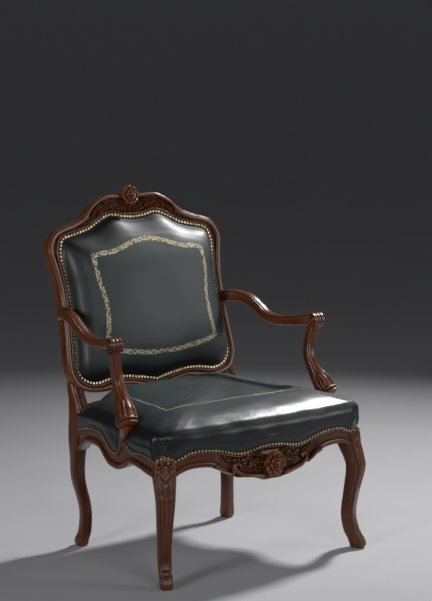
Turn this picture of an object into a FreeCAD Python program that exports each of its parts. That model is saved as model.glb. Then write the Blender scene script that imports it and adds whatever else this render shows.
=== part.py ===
import FreeCAD, Part
import Sketcher
import math
import os
from FreeCAD import Matrix, Placement, Rotation, Vector

# Carved open armchair with a stuffed leather seat and back.
# Millimetres, Z up, front towards -Y, origin on the floor under the middle of the whole chair.

doc = FreeCAD.newDocument("fauteuil")
sheet = doc.addObject("Spreadsheet::Sheet", "Sizes")

SIZES = [
    # Stance of the seat frame
    ("front_spread", 662, "between the centres of the front feet"),
    ("rear_spread", 514, "between the centres of the rear feet"),
    ("seat_depth", 489, "from the front feet to the rear feet"),
    ("rail_top", 368, "height of the seat rails under the upholstery"),
    ("rail_thick", 40, "thickness of the seat rails"),
    ("rail_rebate", 2.4, "depth of the step that the leather edge lies in"),
    ("front_bow", 20, "how far the front rail swells forward in plan"),
    ("front_swell", 8, "how far the side rails swell outwards in plan"),
    ("carving_reach", 24, "how far the front carving stands off the rail"),
    # Heights of the wavy front rail
    ("front_end_low", 290, "underside of the front rail beside a leg"),
    ("front_arch_low", 306, "underside of the front rail at its two arches"),
    ("front_wave_low", 265, "underside of the front rail beside the middle lobe"),
    ("front_lobe_low", 250, "underside of the front rail at its middle lobe"),
    ("front_lobe_half", 52, "half width of the middle lobe"),
    ("front_nail_corner", 332, "nail line at the front legs"),
    ("front_nail_arch", 350, "nail line over the front arches"),
    ("front_nail_dip", 328, "nail line at its dips beside the middle"),
    ("front_nail_mid", 339, "nail line at the middle of the front"),
    # Heights of the wavy side rails
    ("side_front_low", 290, "underside of a side rail at the front leg"),
    ("side_bay_low", 305, "underside of a side rail in front of its lobe"),
    ("side_lobe_low", 276, "underside of a side rail at its lobe"),
    ("side_arch_low", 316, "underside of a side rail at its arch"),
    ("side_rear_low", 276, "underside of a side rail at the rear leg"),
    ("side_nail_front", 340, "nail line in front of an arm support"),
    ("side_nail_lobe", 318, "nail line over the side lobe"),
    ("side_nail_arch", 358, "nail line over the side arch"),
    ("side_nail_rear", 335, "nail line at the rear post"),
    # Front legs
    ("knee_drop", 146, "from the top of the rails down to the knee"),
    ("ankle_height", 95, "height of the thinnest part of a front leg"),
    ("leg_top_width", 62, "front leg across its carved face at the rails"),
    ("leg_top_depth", 56, "front leg from face to back at the rails"),
    ("knee_width", 49, "front leg across the knee"),
    ("knee_depth", 49, "front leg through the knee"),
    ("ankle_width", 37, "front leg across the ankle"),
    ("ankle_depth", 38, "front leg through the ankle"),
    ("toe_depth", 46, "front leg through the scrolled toe"),
    ("leg_turn", 28, "degrees that the front leg faces away from straight ahead"),
    # Rear posts
    ("post_width", 44, "rear post across, at the seat"),
    ("post_depth", 62, "rear post from front to back, at the seat"),
    ("rear_knee", 36, "thickness of a rear leg under the seat"),
    ("rear_ankle", 31, "thickness of a rear leg at its ankle"),
    ("rear_kick", 24, "how far a rear foot turns out again from the ankle"),
    # Back frame
    ("rake", 13.8, "degrees that the back leans"),
    ("back_start", 460, "height where the back frame starts"),
    ("back_height", 512, "from there to the top of the crest arches, along the lean"),
    ("back_thick", 33, "thickness of the back frame"),
    ("hip_half", 290, "half width of the back frame near its foot"),
    ("waist_half", 282, "half width of the back frame at the arms"),
    ("shoulder_half", 300, "half width of the back frame at its shoulders"),
    ("frame_face", 29, "face of the frame outside the nails at the waist"),
    ("frame_cover", 22, "face of the frame under the leather"),
    ("crest_depth", 58, "height of the carved crest above the nails"),
    ("crest_flower", 15, "how far the crest flower stands above the arches"),
    ("lower_rail_face", 26, "face of the lower back rail below the nails"),
    # Arms
    ("arm_rear_height", 648, "middle of an arm where it leaves the back"),
    ("arm_front_height", 613, "middle of an arm at its scroll"),
    ("arm_dip_height", 600, "middle of an arm at its lowest stretch"),
    ("arm_reach", 285, "from the rear feet forward to the scroll of an arm"),
    ("arm_spread", 694, "between the middles of the two arm scrolls"),
    ("arm_width", 34, "width of an arm"),
    ("arm_thick", 30, "height of an arm"),
    ("scroll_radius", 21, "radius of the scroll at the end of an arm"),
    ("scroll_width", 46, "width of the scroll at the end of an arm"),
    ("support_thick", 36, "thickness of an arm support at its waist"),
    ("support_flare", 54, "thickness of an arm support at its carved foot"),
    ("support_foot_lead", 62, "how far the carved foot stands in front of the scroll"),
    # Joinery
    ("tenon_thick", 12, "thickness of the tenons"),
    ("tenon_length", 24, "length of the tenons"),
    ("peg_radius", 3, "radius of the oak pegs"),
    ("fit_gap", 0.1, "clearance of a tenon in its mortise"),
    ("rear_rail_thick", 28, "thickness of the rear seat rail"),
    ("rear_rail_deep", 62, "height of the rear seat rail"),
    ("rail_tenon_high", 36, "height of the tenons of the seat rails"),
    ("screw_radius", 2.2, "radius of the screw shanks"),
    ("screw_length", 42, "length of the corner block screws"),
    ("block_leg", 112, "length of a corner block along a rail"),
    ("block_height", 34, "height of a corner block"),
    # Upholstery
    ("leather", 2.0, "thickness of the leather"),
    ("cloth_gap", 0.3, "clearance between soft pieces and what they lie on"),
    ("web_width", 54, "width of a webbing strap"),
    ("web_thick", 1.6, "thickness of a webbing strap"),
    ("burlap_thick", 1.2, "thickness of the burlap"),
    ("seat_edge_height", 412, "height of the rounded upper edge of the seat pad"),
    ("seat_crown_height", 449, "height of the middle of the seat pad"),
    ("seat_rear_set", 36, "how far the top of the seat pad stands in under the back"),
    ("seat_swell", 9, "how far the sides of the seat pad swell past the rails"),
    ("back_edge_depth", 34, "depth of the back pad at its rounded edge"),
    ("back_crown_depth", 66, "depth of the back pad at its middle"),
    ("back_rear_crown", 9, "how far the outside back cover swells"),
    ("nail_radius", 4.0, "radius of a nail head"),
    ("nail_rise", 2.6, "height of a nail head"),
    ("nail_pitch", 10.4, "spacing of the nails"),
    ("nail_edge", 5.0, "from the nail line to the cut edge of the leather"),
]

for row, (alias, number, note) in enumerate(SIZES, start=1):
    sheet.set("A%d" % row, alias.replace("_", " "))
    sheet.set("B%d" % row, str(number))
    sheet.set("C%d" % row, note)
    sheet.setAlias("B%d" % row, alias)
doc.recompute()


class Reader:
    """Reads the driving sizes from the sheet by name."""

    def __getattr__(self, alias):
        return float(sheet.get(alias))


size = Reader()
nodes = []


def mix(low, high, share):
    """The number that lies a share of the way from low to high."""
    return low + (high - low) * share


def keep(label, shape):
    """Adds a sub-part whose shape the code has worked out."""
    feature = doc.addObject("Part::Feature", label)
    feature.Label = label
    feature.Shape = shape
    feature.Placement = Placement()
    nodes.append(feature)
    return feature


def keep_object(label, thing):
    """Adds a sub-part that is a bound object of the document."""
    thing.Label = label
    nodes.append(thing)
    return thing


def mirrored(shape):
    """The same shape on the other side of the chair."""
    return shape.mirror(Vector(0, 0, 0), Vector(1, 0, 0))


def arc_wire(points, closed=True):
    """A smooth outline of three-point arcs: every second point joins two arcs."""
    edges = []
    ring = list(points) + ([points[0]] if closed else [])
    for start in range(0, len(ring) - 2, 2):
        a, b, c = ring[start], ring[start + 1], ring[start + 2]
        bend = (b - a).cross(c - b).Length
        if bend < 1e-3 * (c - a).Length:
            edges.append(Part.LineSegment(a, c).toShape())
        else:
            edges.append(Part.Arc(a, b, c).toShape())
    return Part.Wire(edges)


def line_edges(points):
    """Straight edges through the points."""
    return [Part.LineSegment(a, b).toShape() for a, b in zip(points, points[1:])]


def cushion_section(centre, across, through, half_across, half_through):
    """A four-cornered section with bowed sides, across and through being unit directions."""
    corner = 0.80
    a1 = across * half_across
    t1 = through * half_through
    ring = [
        centre + a1 * corner + t1 * corner, centre + t1,
        centre - a1 * corner + t1 * corner, centre - a1,
        centre - a1 * corner - t1 * corner, centre - t1,
        centre + a1 * corner - t1 * corner, centre + a1,
    ]
    return arc_wire(ring)


def loft(sections):
    """A closed solid through the sections."""
    solid = Part.makeLoft(sections, True, False)
    if solid.Volume < 0:
        solid.reverse()
    return solid


def stations(keys, count):
    """Evenly spaced rows of numbers on a smooth line through the key rows."""
    first = [2 * a - b for a, b in zip(keys[0], keys[1])]
    last = [2 * a - b for a, b in zip(keys[-1], keys[-2])]
    rows = [first] + [list(k) for k in keys] + [last]
    legs = []
    for a, b in zip(keys, keys[1:]):
        legs.append(math.dist(a[:3], b[:3]))
    total = sum(legs)
    result = []
    for step in range(count):
        reach = total * step / (count - 1)
        index = 0
        while index < len(legs) - 1 and reach > legs[index]:
            reach -= legs[index]
            index += 1
        t = min(reach / legs[index], 1.0)
        p0, p1, p2, p3 = rows[index:index + 4]
        result.append([
            0.5 * (2 * b + (c - a) * t + (2 * a - 5 * b + 4 * c - d) * t ** 2 + (3 * b - a - 3 * c + d) * t ** 3)
            for a, b, c, d in zip(p0, p1, p2, p3)
        ])
    return result


def main_solid(shape):
    """The largest solid of a shape, without the crumbs that a cut leaves."""
    return max(shape.Solids, key=lambda solid: solid.Volume)


def block(centre, along, length, width, height):
    """A box on its centre, upright, with its length along the given level direction."""
    along = Vector(along).normalize()
    side = Vector(0, 0, 1).cross(along)
    solid = Part.makeBox(length, width, height, Vector(-length / 2, -width / 2, -height / 2))
    solid.Placement = Placement(centre, Rotation(along, side, Vector(0, 0, 1), "XYZ"))
    return solid


def rod(start, direction, radius, length):
    """A round rod from a start point."""
    return Part.makeCylinder(radius, length, start, direction)


# The lean of the back. u runs across the chair, v up the lean, w out of its front face.
lean = math.radians(size.rake)
up_lean = Vector(0, math.sin(lean), math.cos(lean))
out_lean = Vector(0, -math.cos(lean), math.sin(lean))

rear_reach = math.sin(lean) * (size.back_height + size.crest_flower) + math.cos(lean) * size.back_thick
front_reach = size.front_bow + size.carving_reach
front_foot_y = -(size.seat_depth + rear_reach - front_reach) / 2
rear_foot_y = front_foot_y + size.seat_depth
back_origin = Vector(0, rear_foot_y, size.back_start)


def on_back(u, v, w=0.0):
    """The point of the chair at u, v, w of the leaning back."""
    return back_origin + Vector(u, 0, 0) + up_lean * v + out_lean * w


# Outline of the back, as half widths and rises up the lean.
crest_joint_half = size.waist_half - 37
top_v = size.back_height
nail_top_v = top_v - size.crest_depth
shoulder_v = 0.715 * top_v
waist_v = 0.47 * top_v
hip_v = 0.11 * top_v
shoulder_end_v = top_v - 80
joint_low_v = nail_top_v - 86

nail_half = [
    (0, nail_top_v - 8), (34, nail_top_v - 5),
    (62, nail_top_v + 1), (80, nail_top_v + 2),
    (102, nail_top_v - 4), (128, nail_top_v - 17),
    (156, nail_top_v - 32), (196, nail_top_v - 42),
    (size.shoulder_half - 67, nail_top_v - 50), (size.shoulder_half - 50, nail_top_v - 58),
    (size.shoulder_half - 43, nail_top_v - 71), (size.shoulder_half - 38, shoulder_v - 6),
    (size.shoulder_half - 40, shoulder_v - 36), (size.waist_half - 26, shoulder_v - 74),
    (size.waist_half - size.frame_face, waist_v + 20), (size.waist_half - size.frame_face, waist_v - 40),
    (size.waist_half - size.frame_face + 3, waist_v - 105), (size.hip_half - 30, hip_v + 30),
    (size.hip_half - 27, hip_v - 6), (size.hip_half - 31, hip_v - 32),
    (size.hip_half - 44, 6), (size.hip_half - 70, -6),
    (size.hip_half - 100, -7), (size.hip_half - 140, 0),
    (size.hip_half - 180, 1.5), (size.hip_half - 232, -6),
    (0, -17),
]

outer_half = [
    (crest_joint_half, shoulder_end_v), (size.shoulder_half - 28, shoulder_end_v - 12),
    (size.shoulder_half - 10, shoulder_end_v - 33), (size.shoulder_half, shoulder_v),
    (size.shoulder_half - 7, shoulder_v - 38), (size.waist_half + 3, shoulder_v - 88),
    (size.waist_half, waist_v + 10), (size.waist_half, waist_v - 50),
    (size.waist_half + 3, waist_v - 110), (size.hip_half, hip_v + 24),
    (size.hip_half + 1, hip_v - 14), (size.hip_half - 1, hip_v - 36),
    (size.hip_half - 5, -28),
]

crest_half = [
    (crest_joint_half, shoulder_end_v), (213, top_v - 71),
    (180, top_v - 59), (160, top_v - 44),
    (140, top_v - 28), (118, top_v - 14),
    (92, top_v - 2), (74, top_v),
    (56, top_v - 3), (42, top_v - 1),
    (30, top_v + size.crest_flower - 6), (17, top_v + size.crest_flower - 1),
    (0, top_v + size.crest_flower),
]

lower_joint_half = size.hip_half - 58
lower_half = [
    (lower_joint_half, -29), (size.hip_half - 88, -7 - size.lower_rail_face),
    (size.hip_half - 122, -7 - size.lower_rail_face), (size.hip_half - 164, -24),
    (size.hip_half - 198, -23), (size.hip_half - 232, -30),
    (size.hip_half - 258, -38), (14, -17 - size.lower_rail_face),
    (0, -17 - size.lower_rail_face),
]


def shifted(half_outline, inward):
    """Moves an outline of half widths and rises towards the middle of the back."""
    moved = []
    count = len(half_outline)
    for i, (u, v) in enumerate(half_outline):
        before = half_outline[i - 1] if i else (-half_outline[1][0], half_outline[1][1])
        after = half_outline[i + 1] if i < count - 1 else (-half_outline[-2][0], half_outline[-2][1])
        du, dv = after[0] - before[0], after[1] - before[1]
        long = math.hypot(du, dv)
        nu, nv = dv / long, -du / long
        moved.append((0 if u == 0 else u + nu * inward, v + nv * inward))
    return moved


def whole_outline(half_outline, w):
    """The closed outline on the back at height w, from its half."""
    right = [on_back(u, v, w) for u, v in half_outline]
    left = [on_back(-u, v, w) for u, v in half_outline[1:-1]]
    return arc_wire(right + left[::-1])


def slab(wire, low_w, high_w):
    """A plate of the back frame between two heights over its front plane."""
    face = Part.Face(wire)
    face.translate(out_lean * low_w)
    return face.extrude(out_lean * (high_w - low_w))


wood_inner_half = shifted(nail_half, size.frame_cover)
opening = slab(whole_outline(wood_inner_half, 0), -200, 200)


def frame_piece(outline_points):
    """A piece of the back frame from the closed list of its outline points on the back."""
    wire = Part.Wire(outline_points)
    return slab(wire, -size.back_thick, 0)


def half_arcs(points):
    """The arcs along an outline on the back, in order."""
    return arc_wire([on_back(u, v) for u, v in points], closed=False).Edges


# Stile part of a rear post, right side.
stile_bottom_v = outer_half[-1][1]
stile_edges = half_arcs(outer_half) + line_edges([
    on_back(*outer_half[-1]), on_back(lower_joint_half, stile_bottom_v),
    on_back(lower_joint_half, 60), on_back(size.waist_half - 70, 60),
    on_back(size.waist_half - 70, joint_low_v), on_back(crest_joint_half, joint_low_v),
    on_back(crest_joint_half, shoulder_end_v),
])
stile = frame_piece(stile_edges).cut(opening)

# Rear leg, right side: sections from the floor to the foot of the stile.
kick = Vector(0.6, 0.8, 0)
rear_foot = Vector(size.rear_spread / 2, rear_foot_y, 0)
post_centre_x = size.hip_half - 3 - size.post_width / 2
post_turn = math.radians(11)
stile_foot = on_back(0, stile_bottom_v / 2, -size.back_thick / 2)
post_rear_y = rear_foot_y + 27
post_front_y = post_rear_y - size.post_depth


def rear_key(height, shift, width, depth):
    """Centre, size and turn of a section of the rear leg, moved out along its kick."""
    centre = rear_foot + kick * shift
    return (centre.x, centre.y, height, width, depth, post_turn)


def post_key(height, centre_y, width, depth):
    """Centre and size of a section of the post at seat level, square to the chair."""
    return (post_centre_x, centre_y, height, width, depth, 0)


rear_keys = [
    rear_key(0, 1, 27, 27),
    rear_key(17, 1, size.rear_ankle + 5, size.rear_ankle + 5),
    rear_key(42, 1 - size.rear_kick * 0.35, size.rear_ankle + 2, size.rear_ankle + 2),
    rear_key(88, 1 - size.rear_kick * 0.5, size.rear_ankle, size.rear_ankle),
    rear_key(126, 1 - size.rear_kick * 0.3, size.rear_ankle + 1, size.rear_ankle + 1),
    rear_key(190, 10, size.rear_knee - 1, size.rear_knee),
    rear_key(250, 11, size.rear_knee + 2, size.rear_knee + 4),
    post_key(300, post_rear_y - 24, size.post_width, 48),
    post_key(size.rail_top, post_rear_y - size.post_depth / 2, size.post_width, size.post_depth),
    post_key(size.rail_top + 44, post_rear_y - 25, size.post_width, 50),
    post_key(stile_foot.z + 4, stile_foot.y + 1, size.post_width, 40),
]


def rear_leg_solid(grow):
    """The turned-out leg and post up to the stile, larger all round by grow."""
    sections = []
    for x, y, z, width, depth, angle in stations(rear_keys, 23):
        across = Vector(math.cos(angle), math.sin(angle), 0)
        through = Vector(-math.sin(angle), math.cos(angle), 0)
        sections.append(cushion_section(Vector(x, y, z), across, through, width / 2 + grow, depth / 2 + grow))
    return loft(sections)


post = rear_leg_solid(0).fuse(stile).removeSplitter()

# Front leg, right side, turned to face outwards.
turn = math.radians(size.leg_turn)
leg_face = Vector(math.sin(turn), -math.cos(turn), 0)
leg_across = Vector(math.cos(turn), math.sin(turn), 0)
front_foot = Vector(size.front_spread / 2, front_foot_y, 0)


knee_z = size.rail_top - size.knee_drop
leg_shift_top = -10 - size.leg_top_depth / 2
leg_keys = [
    (0, 0, 0, 28, 32),
    (-1, 0, 16, size.ankle_width - 4, size.toe_depth),
    (-20, 0, 50, size.ankle_width - 3, size.ankle_depth + 3),
    (-28, 0, size.ankle_height, size.ankle_width, size.ankle_depth),
    (-21, 0, mix(size.ankle_height, knee_z, 0.45), size.ankle_width + 4, size.ankle_depth + 2),
    (-8, 0, knee_z, size.knee_width, size.knee_depth),
    (-13, 0, knee_z + 32, size.knee_width + 5, size.knee_depth + 2),
    (-30, 0, size.rail_top - 68, size.leg_top_width + 2, size.leg_top_depth + 4),
    (leg_shift_top, 0, size.rail_top, size.leg_top_width, size.leg_top_depth),
]
leg_sections = []
for shift, _, height, width, depth in stations(leg_keys, 18):
    centre = front_foot + leg_face * shift + Vector(0, 0, height)
    leg_sections.append(cushion_section(centre, leg_across, leg_face, width / 2, depth / 2))
front_leg = loft(leg_sections)

# Plan of the seat frame.
corner_in = Vector(size.front_spread / 2 - 30, front_foot_y, 0)
corner_out = Vector(size.front_spread / 2 + 19, front_foot_y + 26, 0)
rear_corner = Vector(post_centre_x + size.post_width / 2, post_rear_y - size.post_depth + 4, 0)
front_mid = Vector(0, front_foot_y - size.front_bow, 0)


def sagitta_radius(half_chord, rise):
    """Radius of the arc that rises over a chord."""
    return (half_chord ** 2 + rise ** 2) / (2 * rise)


front_radius = sagitta_radius(corner_in.x, size.front_bow)
side_mid_y = (corner_out.y + rear_corner.y) / 2
side_half = (rear_corner.y - corner_out.y) / 2
side_radius = sagitta_radius(side_half, size.front_swell)


def front_face_y(x):
    """Depth of the front rail's face at x, on its arc."""
    return front_mid.y + front_radius - math.sqrt(front_radius ** 2 - x ** 2)


def side_face_x(y):
    """Half width of a side rail's face at y, on its slight arc."""
    straight = mix(corner_out.x, rear_corner.x, (y - corner_out.y) / (rear_corner.y - corner_out.y))
    along = y - side_mid_y
    return straight + math.sqrt(side_radius ** 2 - along ** 2) - side_radius + size.front_swell


def wave_x(points):
    """The whole front outline from the points of its right half, in the XZ plane."""
    right = [Vector(x, 0, z) for x, z in points]
    left = [Vector(-x, 0, z) for x, z in points[1:]]
    return left[::-1] + right


end_x = corner_in.x
front_low = [
    (0, size.front_lobe_low), (size.front_lobe_half * 0.6, size.front_lobe_low),
    (size.front_lobe_half, mix(size.front_lobe_low, size.front_wave_low, 0.5)),
    (size.front_lobe_half + 24, size.front_wave_low),
    (size.front_lobe_half + 58, size.front_wave_low + 1),
    (size.front_lobe_half + 96, mix(size.front_wave_low, size.front_arch_low, 0.45)),
    (size.front_lobe_half + 136, size.front_arch_low - 5), (end_x - 80, size.front_arch_low),
    (end_x - 44, size.front_arch_low), (end_x - 18, size.front_end_low + 10),
    (end_x - 2, size.front_end_low),
]
front_nails = [
    (0, size.front_nail_mid), (26, size.front_nail_mid - 1),
    (56, mix(size.front_nail_dip, size.front_nail_mid, 0.45)), (98, size.front_nail_dip),
    (132, mix(size.front_nail_dip, size.front_nail_arch, 0.25)),
    (172, mix(size.front_nail_dip, size.front_nail_arch, 0.75)),
    (204, size.front_nail_arch - 1), (232, size.front_nail_arch),
    (260, size.front_nail_arch - 3), (284, mix(size.front_nail_corner, size.front_nail_arch, 0.3)),
    (end_x, size.front_nail_corner),
]

lobe_y = front_foot_y + 226
tongue_y = lobe_y - 40
side_low = [
    (corner_out.y + 2, size.side_front_low), (corner_out.y + 36, size.side_front_low + 5),
    (corner_out.y + 70, mix(size.side_front_low, size.side_bay_low, 0.8)),
    (lobe_y - 82, size.side_bay_low),
    (lobe_y - 56, mix(size.side_bay_low, size.side_lobe_low, 0.4)),
    (lobe_y - 28, size.side_lobe_low + 4), (lobe_y, size.side_lobe_low),
    (lobe_y + 36, size.side_lobe_low + 4),
    (lobe_y + 62, mix(size.side_lobe_low, size.side_arch_low, 0.45)),
    (lobe_y + 86, size.side_arch_low - 6), (lobe_y + 116, size.side_arch_low),
    (mix(lobe_y + 116, rear_corner.y, 0.55), size.side_arch_low - 6),
    (rear_corner.y + 2, size.side_rear_low),
]
side_nails = [
    (corner_out.y, size.front_nail_corner), (corner_out.y + 30, size.side_nail_front - 1),
    (corner_out.y + 76, size.side_nail_front),
    (tongue_y - 36, size.side_nail_front + 4),
    (tongue_y - 16, mix(size.side_nail_front, size.rail_top, 0.6)), (tongue_y - 6, size.rail_top - 4),
    (tongue_y, size.rail_top - 1), (tongue_y + 4, size.rail_top - 8),
    (tongue_y + 10, mix(size.side_nail_lobe, size.rail_top, 0.45)), (tongue_y + 20, size.side_nail_lobe + 6),
    (lobe_y + 2, size.side_nail_lobe), (lobe_y + 20, size.side_nail_lobe + 2),
    (lobe_y + 38, size.side_nail_lobe + 12), (lobe_y + 60, mix(size.side_nail_lobe, size.side_nail_arch, 0.7)),
    (lobe_y + 84, size.side_nail_arch - 1), (mix(lobe_y + 84, rear_corner.y, 0.5), size.side_nail_arch - 4),
    (rear_corner.y, size.side_nail_rear),
]


def below(points, floor, direction, reach):
    """A prism under a wavy line, from the line down to the floor height."""
    first, last = points[0], points[-1]
    edges = arc_wire(points, closed=False).Edges
    edges += line_edges([last, Vector(last.x, last.y, floor), Vector(first.x, first.y, floor), first])
    return Part.Face(Part.Wire(edges)).extrude(direction * reach)


def lifted(points, rise):
    """The same points, higher by rise."""
    return [p + Vector(0, 0, rise) for p in points]


def spread_ends(points, direction, reach):
    """Lengthens a line of points beyond both ends, so that a cut runs clear."""
    first, last = points[0], points[-1]
    return [first - direction * reach, first - direction * (reach / 2)] + points + [
        last + direction * (reach / 2), last + direction * reach]


front_low_points = wave_x(front_low)
front_nail_points = wave_x(front_nails)
side_low_points = [Vector(0, y, z) for y, z in side_low]
side_nail_points = [Vector(0, y, z) for y, z in side_nails]

x_way, y_way, z_way = Vector(1, 0, 0), Vector(0, 1, 0), Vector(0, 0, 1)
FAR = 500.0


def front_prism(points, floor):
    """A prism through the front of the chair under a line in the XZ plane."""
    moved = [p + Vector(0, front_foot_y - 100, 0) for p in points]
    return below(moved, floor, y_way, 180)


def side_prism(points, floor):
    """A prism through the right side of the chair under a line in the YZ plane."""
    moved = [p + Vector(180, 0, 0) for p in points]
    return below(moved, floor, x_way, FAR)


def upright(wire, low, high):
    """A plan outline drawn up between two heights."""
    face = Part.Face(wire)
    face.translate(Vector(0, 0, low))
    return face.extrude(Vector(0, 0, high - low))


# Front seat rail: a bowed plank with a wavy underside and a rebate for the leather.
rail_end = corner_in.x + 22
inner_front_y = front_mid.y + size.rail_thick + size.front_bow


front_end_y = front_face_y(rail_end)
front_edges = [Part.Arc(Vector(-rail_end, front_end_y, 0), front_mid, Vector(rail_end, front_end_y, 0)).toShape()]
front_edges += line_edges([
    Vector(rail_end, front_end_y, 0), Vector(rail_end, inner_front_y, 0), Vector(-rail_end, inner_front_y, 0),
    Vector(-rail_end, front_end_y, 0),
])
front_rail = upright(Part.Wire(front_edges), 200, size.rail_top)
front_rail = front_rail.cut(front_prism(spread_ends(front_low_points, x_way, 40), 100))
lobe_boss = Part.makeCone(38, 20, size.carving_reach + 20, front_mid + Vector(0, 20, size.front_lobe_low + 42),
                          Vector(0, -1, 0))
front_rail = front_rail.fuse(lobe_boss).removeSplitter()

# Right side rail: a slightly bowed plank with a wavy underside, up to the rear rail.
rear_rail_y = post_rear_y - 9 - size.rear_rail_thick / 2
rear_inner_y = rear_rail_y - size.rear_rail_thick / 2
post_inner_x = post_centre_x - size.post_width / 2
side_start_y = corner_out.y - 4
side_end_y = rear_inner_y - 0.2
side_plan = [Part.Arc(
    Vector(side_face_x(side_start_y), side_start_y, 0), Vector(side_face_x(side_mid_y), side_mid_y, 0),
    Vector(side_face_x(side_end_y), side_end_y, 0)).toShape()]
side_plan += line_edges([
    Vector(side_face_x(side_end_y), side_end_y, 0), Vector(side_face_x(side_end_y) - size.rail_thick, side_end_y, 0),
    Vector(side_face_x(side_start_y) - size.rail_thick, side_start_y, 0),
    Vector(side_face_x(side_start_y), side_start_y, 0),
])
side_rail = upright(Part.Wire(side_plan), 200, size.rail_top)
side_rail = side_rail.cut(side_prism(spread_ends(side_low_points, y_way, 40), 100))

# Crest rail and lower back rail, from the outline down or up to the upholstered opening.
crest_edges = half_arcs(crest_half)
crest_mirror = [e.mirror(Vector(0, 0, 0), x_way) for e in crest_edges]
crest_base = line_edges([
    on_back(crest_joint_half, shoulder_end_v), on_back(crest_joint_half, joint_low_v),
    on_back(-crest_joint_half, joint_low_v), on_back(-crest_joint_half, shoulder_end_v),
])
crest = frame_piece(Part.sortEdges(crest_edges + crest_mirror + crest_base)[0]).cut(opening)

crest_boss = Part.makeCone(30, 17, 26, on_back(0, top_v - 14, -14), out_lean)
crest = crest.fuse(crest_boss).removeSplitter()

lower_edges = half_arcs(lower_half)
lower_mirror = [e.mirror(Vector(0, 0, 0), x_way) for e in lower_edges]
lower_top = line_edges([
    on_back(*lower_half[0]), on_back(lower_joint_half, 60),
    on_back(-lower_joint_half, 60), on_back(-lower_half[0][0], lower_half[0][1]),
])
lower_rail = frame_piece(Part.sortEdges(lower_edges + lower_mirror + lower_top)[0]).cut(opening)

# The step in the face of the back frame that the leather edge lies in, front and rear.
border_half = shifted(nail_half, -size.nail_edge - 0.5)
front_step = slab(whole_outline(border_half, 0), -size.rail_rebate, 30)
crest = crest.cut(front_step)
lower_rail = lower_rail.cut(front_step)
post = post.cut(front_step)

# Arms: from inside the stile, down an S and out to the scroll.
arm_face_v = (size.arm_rear_height - size.back_start) / math.cos(lean)
arm_start = on_back(size.waist_half - 6, arm_face_v, -14)
scroll = Vector(size.arm_spread / 2, rear_foot_y - size.arm_reach, size.arm_front_height)
arm_lead = on_back(size.waist_half + 5, arm_face_v, 18)


def arm_point(share, out_share, height):
    """A point of the arm, by its share of the way forward and outwards."""
    return Vector(mix(arm_lead.x, scroll.x, out_share), mix(arm_lead.y, scroll.y, share), height)


def arm_key(point, swell):
    """A place on the arm and the size of its section there."""
    return (point.x, point.y, point.z, swell)


arm_keys = [
    arm_key(arm_start, 1.0),
    arm_key(arm_lead, 1.0),
    arm_key(arm_point(0.11, 0.22, size.arm_rear_height + 2), 1.0),
    arm_key(arm_point(0.23, 0.36, size.arm_rear_height - 5), 1.0),
    arm_key(arm_point(0.34, 0.42, mix(size.arm_dip_height, size.arm_rear_height, 0.52)), 1.0),
    arm_key(arm_point(0.46, 0.44, size.arm_dip_height + 6), 1.0),
    arm_key(arm_point(0.60, 0.48, size.arm_dip_height), 1.0),
    arm_key(arm_point(0.76, 0.62, mix(size.arm_dip_height, size.arm_front_height, 0.35)), 1.05),
    arm_key(arm_point(0.89, 0.82, mix(size.arm_dip_height, size.arm_front_height, 0.8)), 1.15),
    arm_key(scroll, 1.2),
]
arm_rows = stations(arm_keys, 20)
arm_sections = []
for index, (x, y, z, swell) in enumerate(arm_rows):
    ahead = arm_rows[min(index + 1, len(arm_rows) - 1)]
    behind = arm_rows[max(index - 1, 0)]
    along = (Vector(*ahead[:3]) - Vector(*behind[:3])).normalize()
    across = along.cross(z_way).normalize()
    over = across.cross(along).normalize()
    arm_sections.append(cushion_section(Vector(x, y, z), across, over, swell * size.arm_width / 2,
                                        swell * size.arm_thick / 2))
arm_bar = loft(arm_sections)
scroll_across = Vector(size.scroll_width / 2, 0, 0)
arm_scroll = rod(scroll - scroll_across, x_way, size.scroll_radius, size.scroll_width)
arm = arm_bar.fuse(arm_scroll)

# Arm supports: from under the scroll, back in an S and out to a carved foot on the side rail.
foot_z = size.rail_top + 50
tail = Vector(side_face_x(tongue_y) - 15, tongue_y, size.rail_top)
foot_point = Vector(size.arm_spread / 2 - 4, scroll.y - size.support_foot_lead + 8, foot_z)
neck = size.support_thick / 2
flare = size.support_flare / 2


support_top = size.arm_front_height - 4
support_drop = support_top - foot_z


def support_key(point, half_x, half_y):
    """A place on an arm support and its half sizes there."""
    return (point.x, point.y, point.z, half_x, half_y)


support_keys = [
    support_key(Vector(scroll.x - 5, scroll.y + 8, support_top), neck, neck),
    support_key(Vector(scroll.x - 12, scroll.y + 10, support_top - 0.25 * support_drop), neck - 1, neck),
    support_key(Vector(scroll.x - 19, scroll.y + 7, support_top - 0.47 * support_drop), neck - 1, neck),
    support_key(Vector(scroll.x - 17, scroll.y - 3, support_top - 0.62 * support_drop), neck, neck + 2),
    support_key(Vector(scroll.x - 11, scroll.y - 20, support_top - 0.77 * support_drop), neck + 3, neck + 5),
    support_key(foot_point + Vector(0, 4, 14), flare - 2, flare - 2),
    support_key(foot_point + Vector(0, 0, -6), flare - 2, flare - 1),
    support_key(foot_point + Vector(-3, 8, -18), flare - 8, flare - 5),
    support_key(tail + Vector(2, -6, 16), 16, 18),
    support_key(tail, 13, 13),
]


def support_solid(grow):
    """An arm support above the rail, larger all round by grow."""
    sections = []
    for x, y, z, half_x, half_y in stations(support_keys, 20):
        sections.append(cushion_section(Vector(x, y, z), x_way, y_way, half_x + grow, half_y + grow))
    return loft(sections)


support = support_solid(0).cut(arm)

# Joinery. Each rail or arm stops against its neighbour, and a tenon goes on into it.
fit = size.fit_gap
t_long, t_thick = size.tenon_length, size.tenon_thick
leg_top_centre = front_foot + leg_face * leg_shift_top
joint_z = size.rail_top - 32
leg_half = size.leg_top_width / 2


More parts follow.
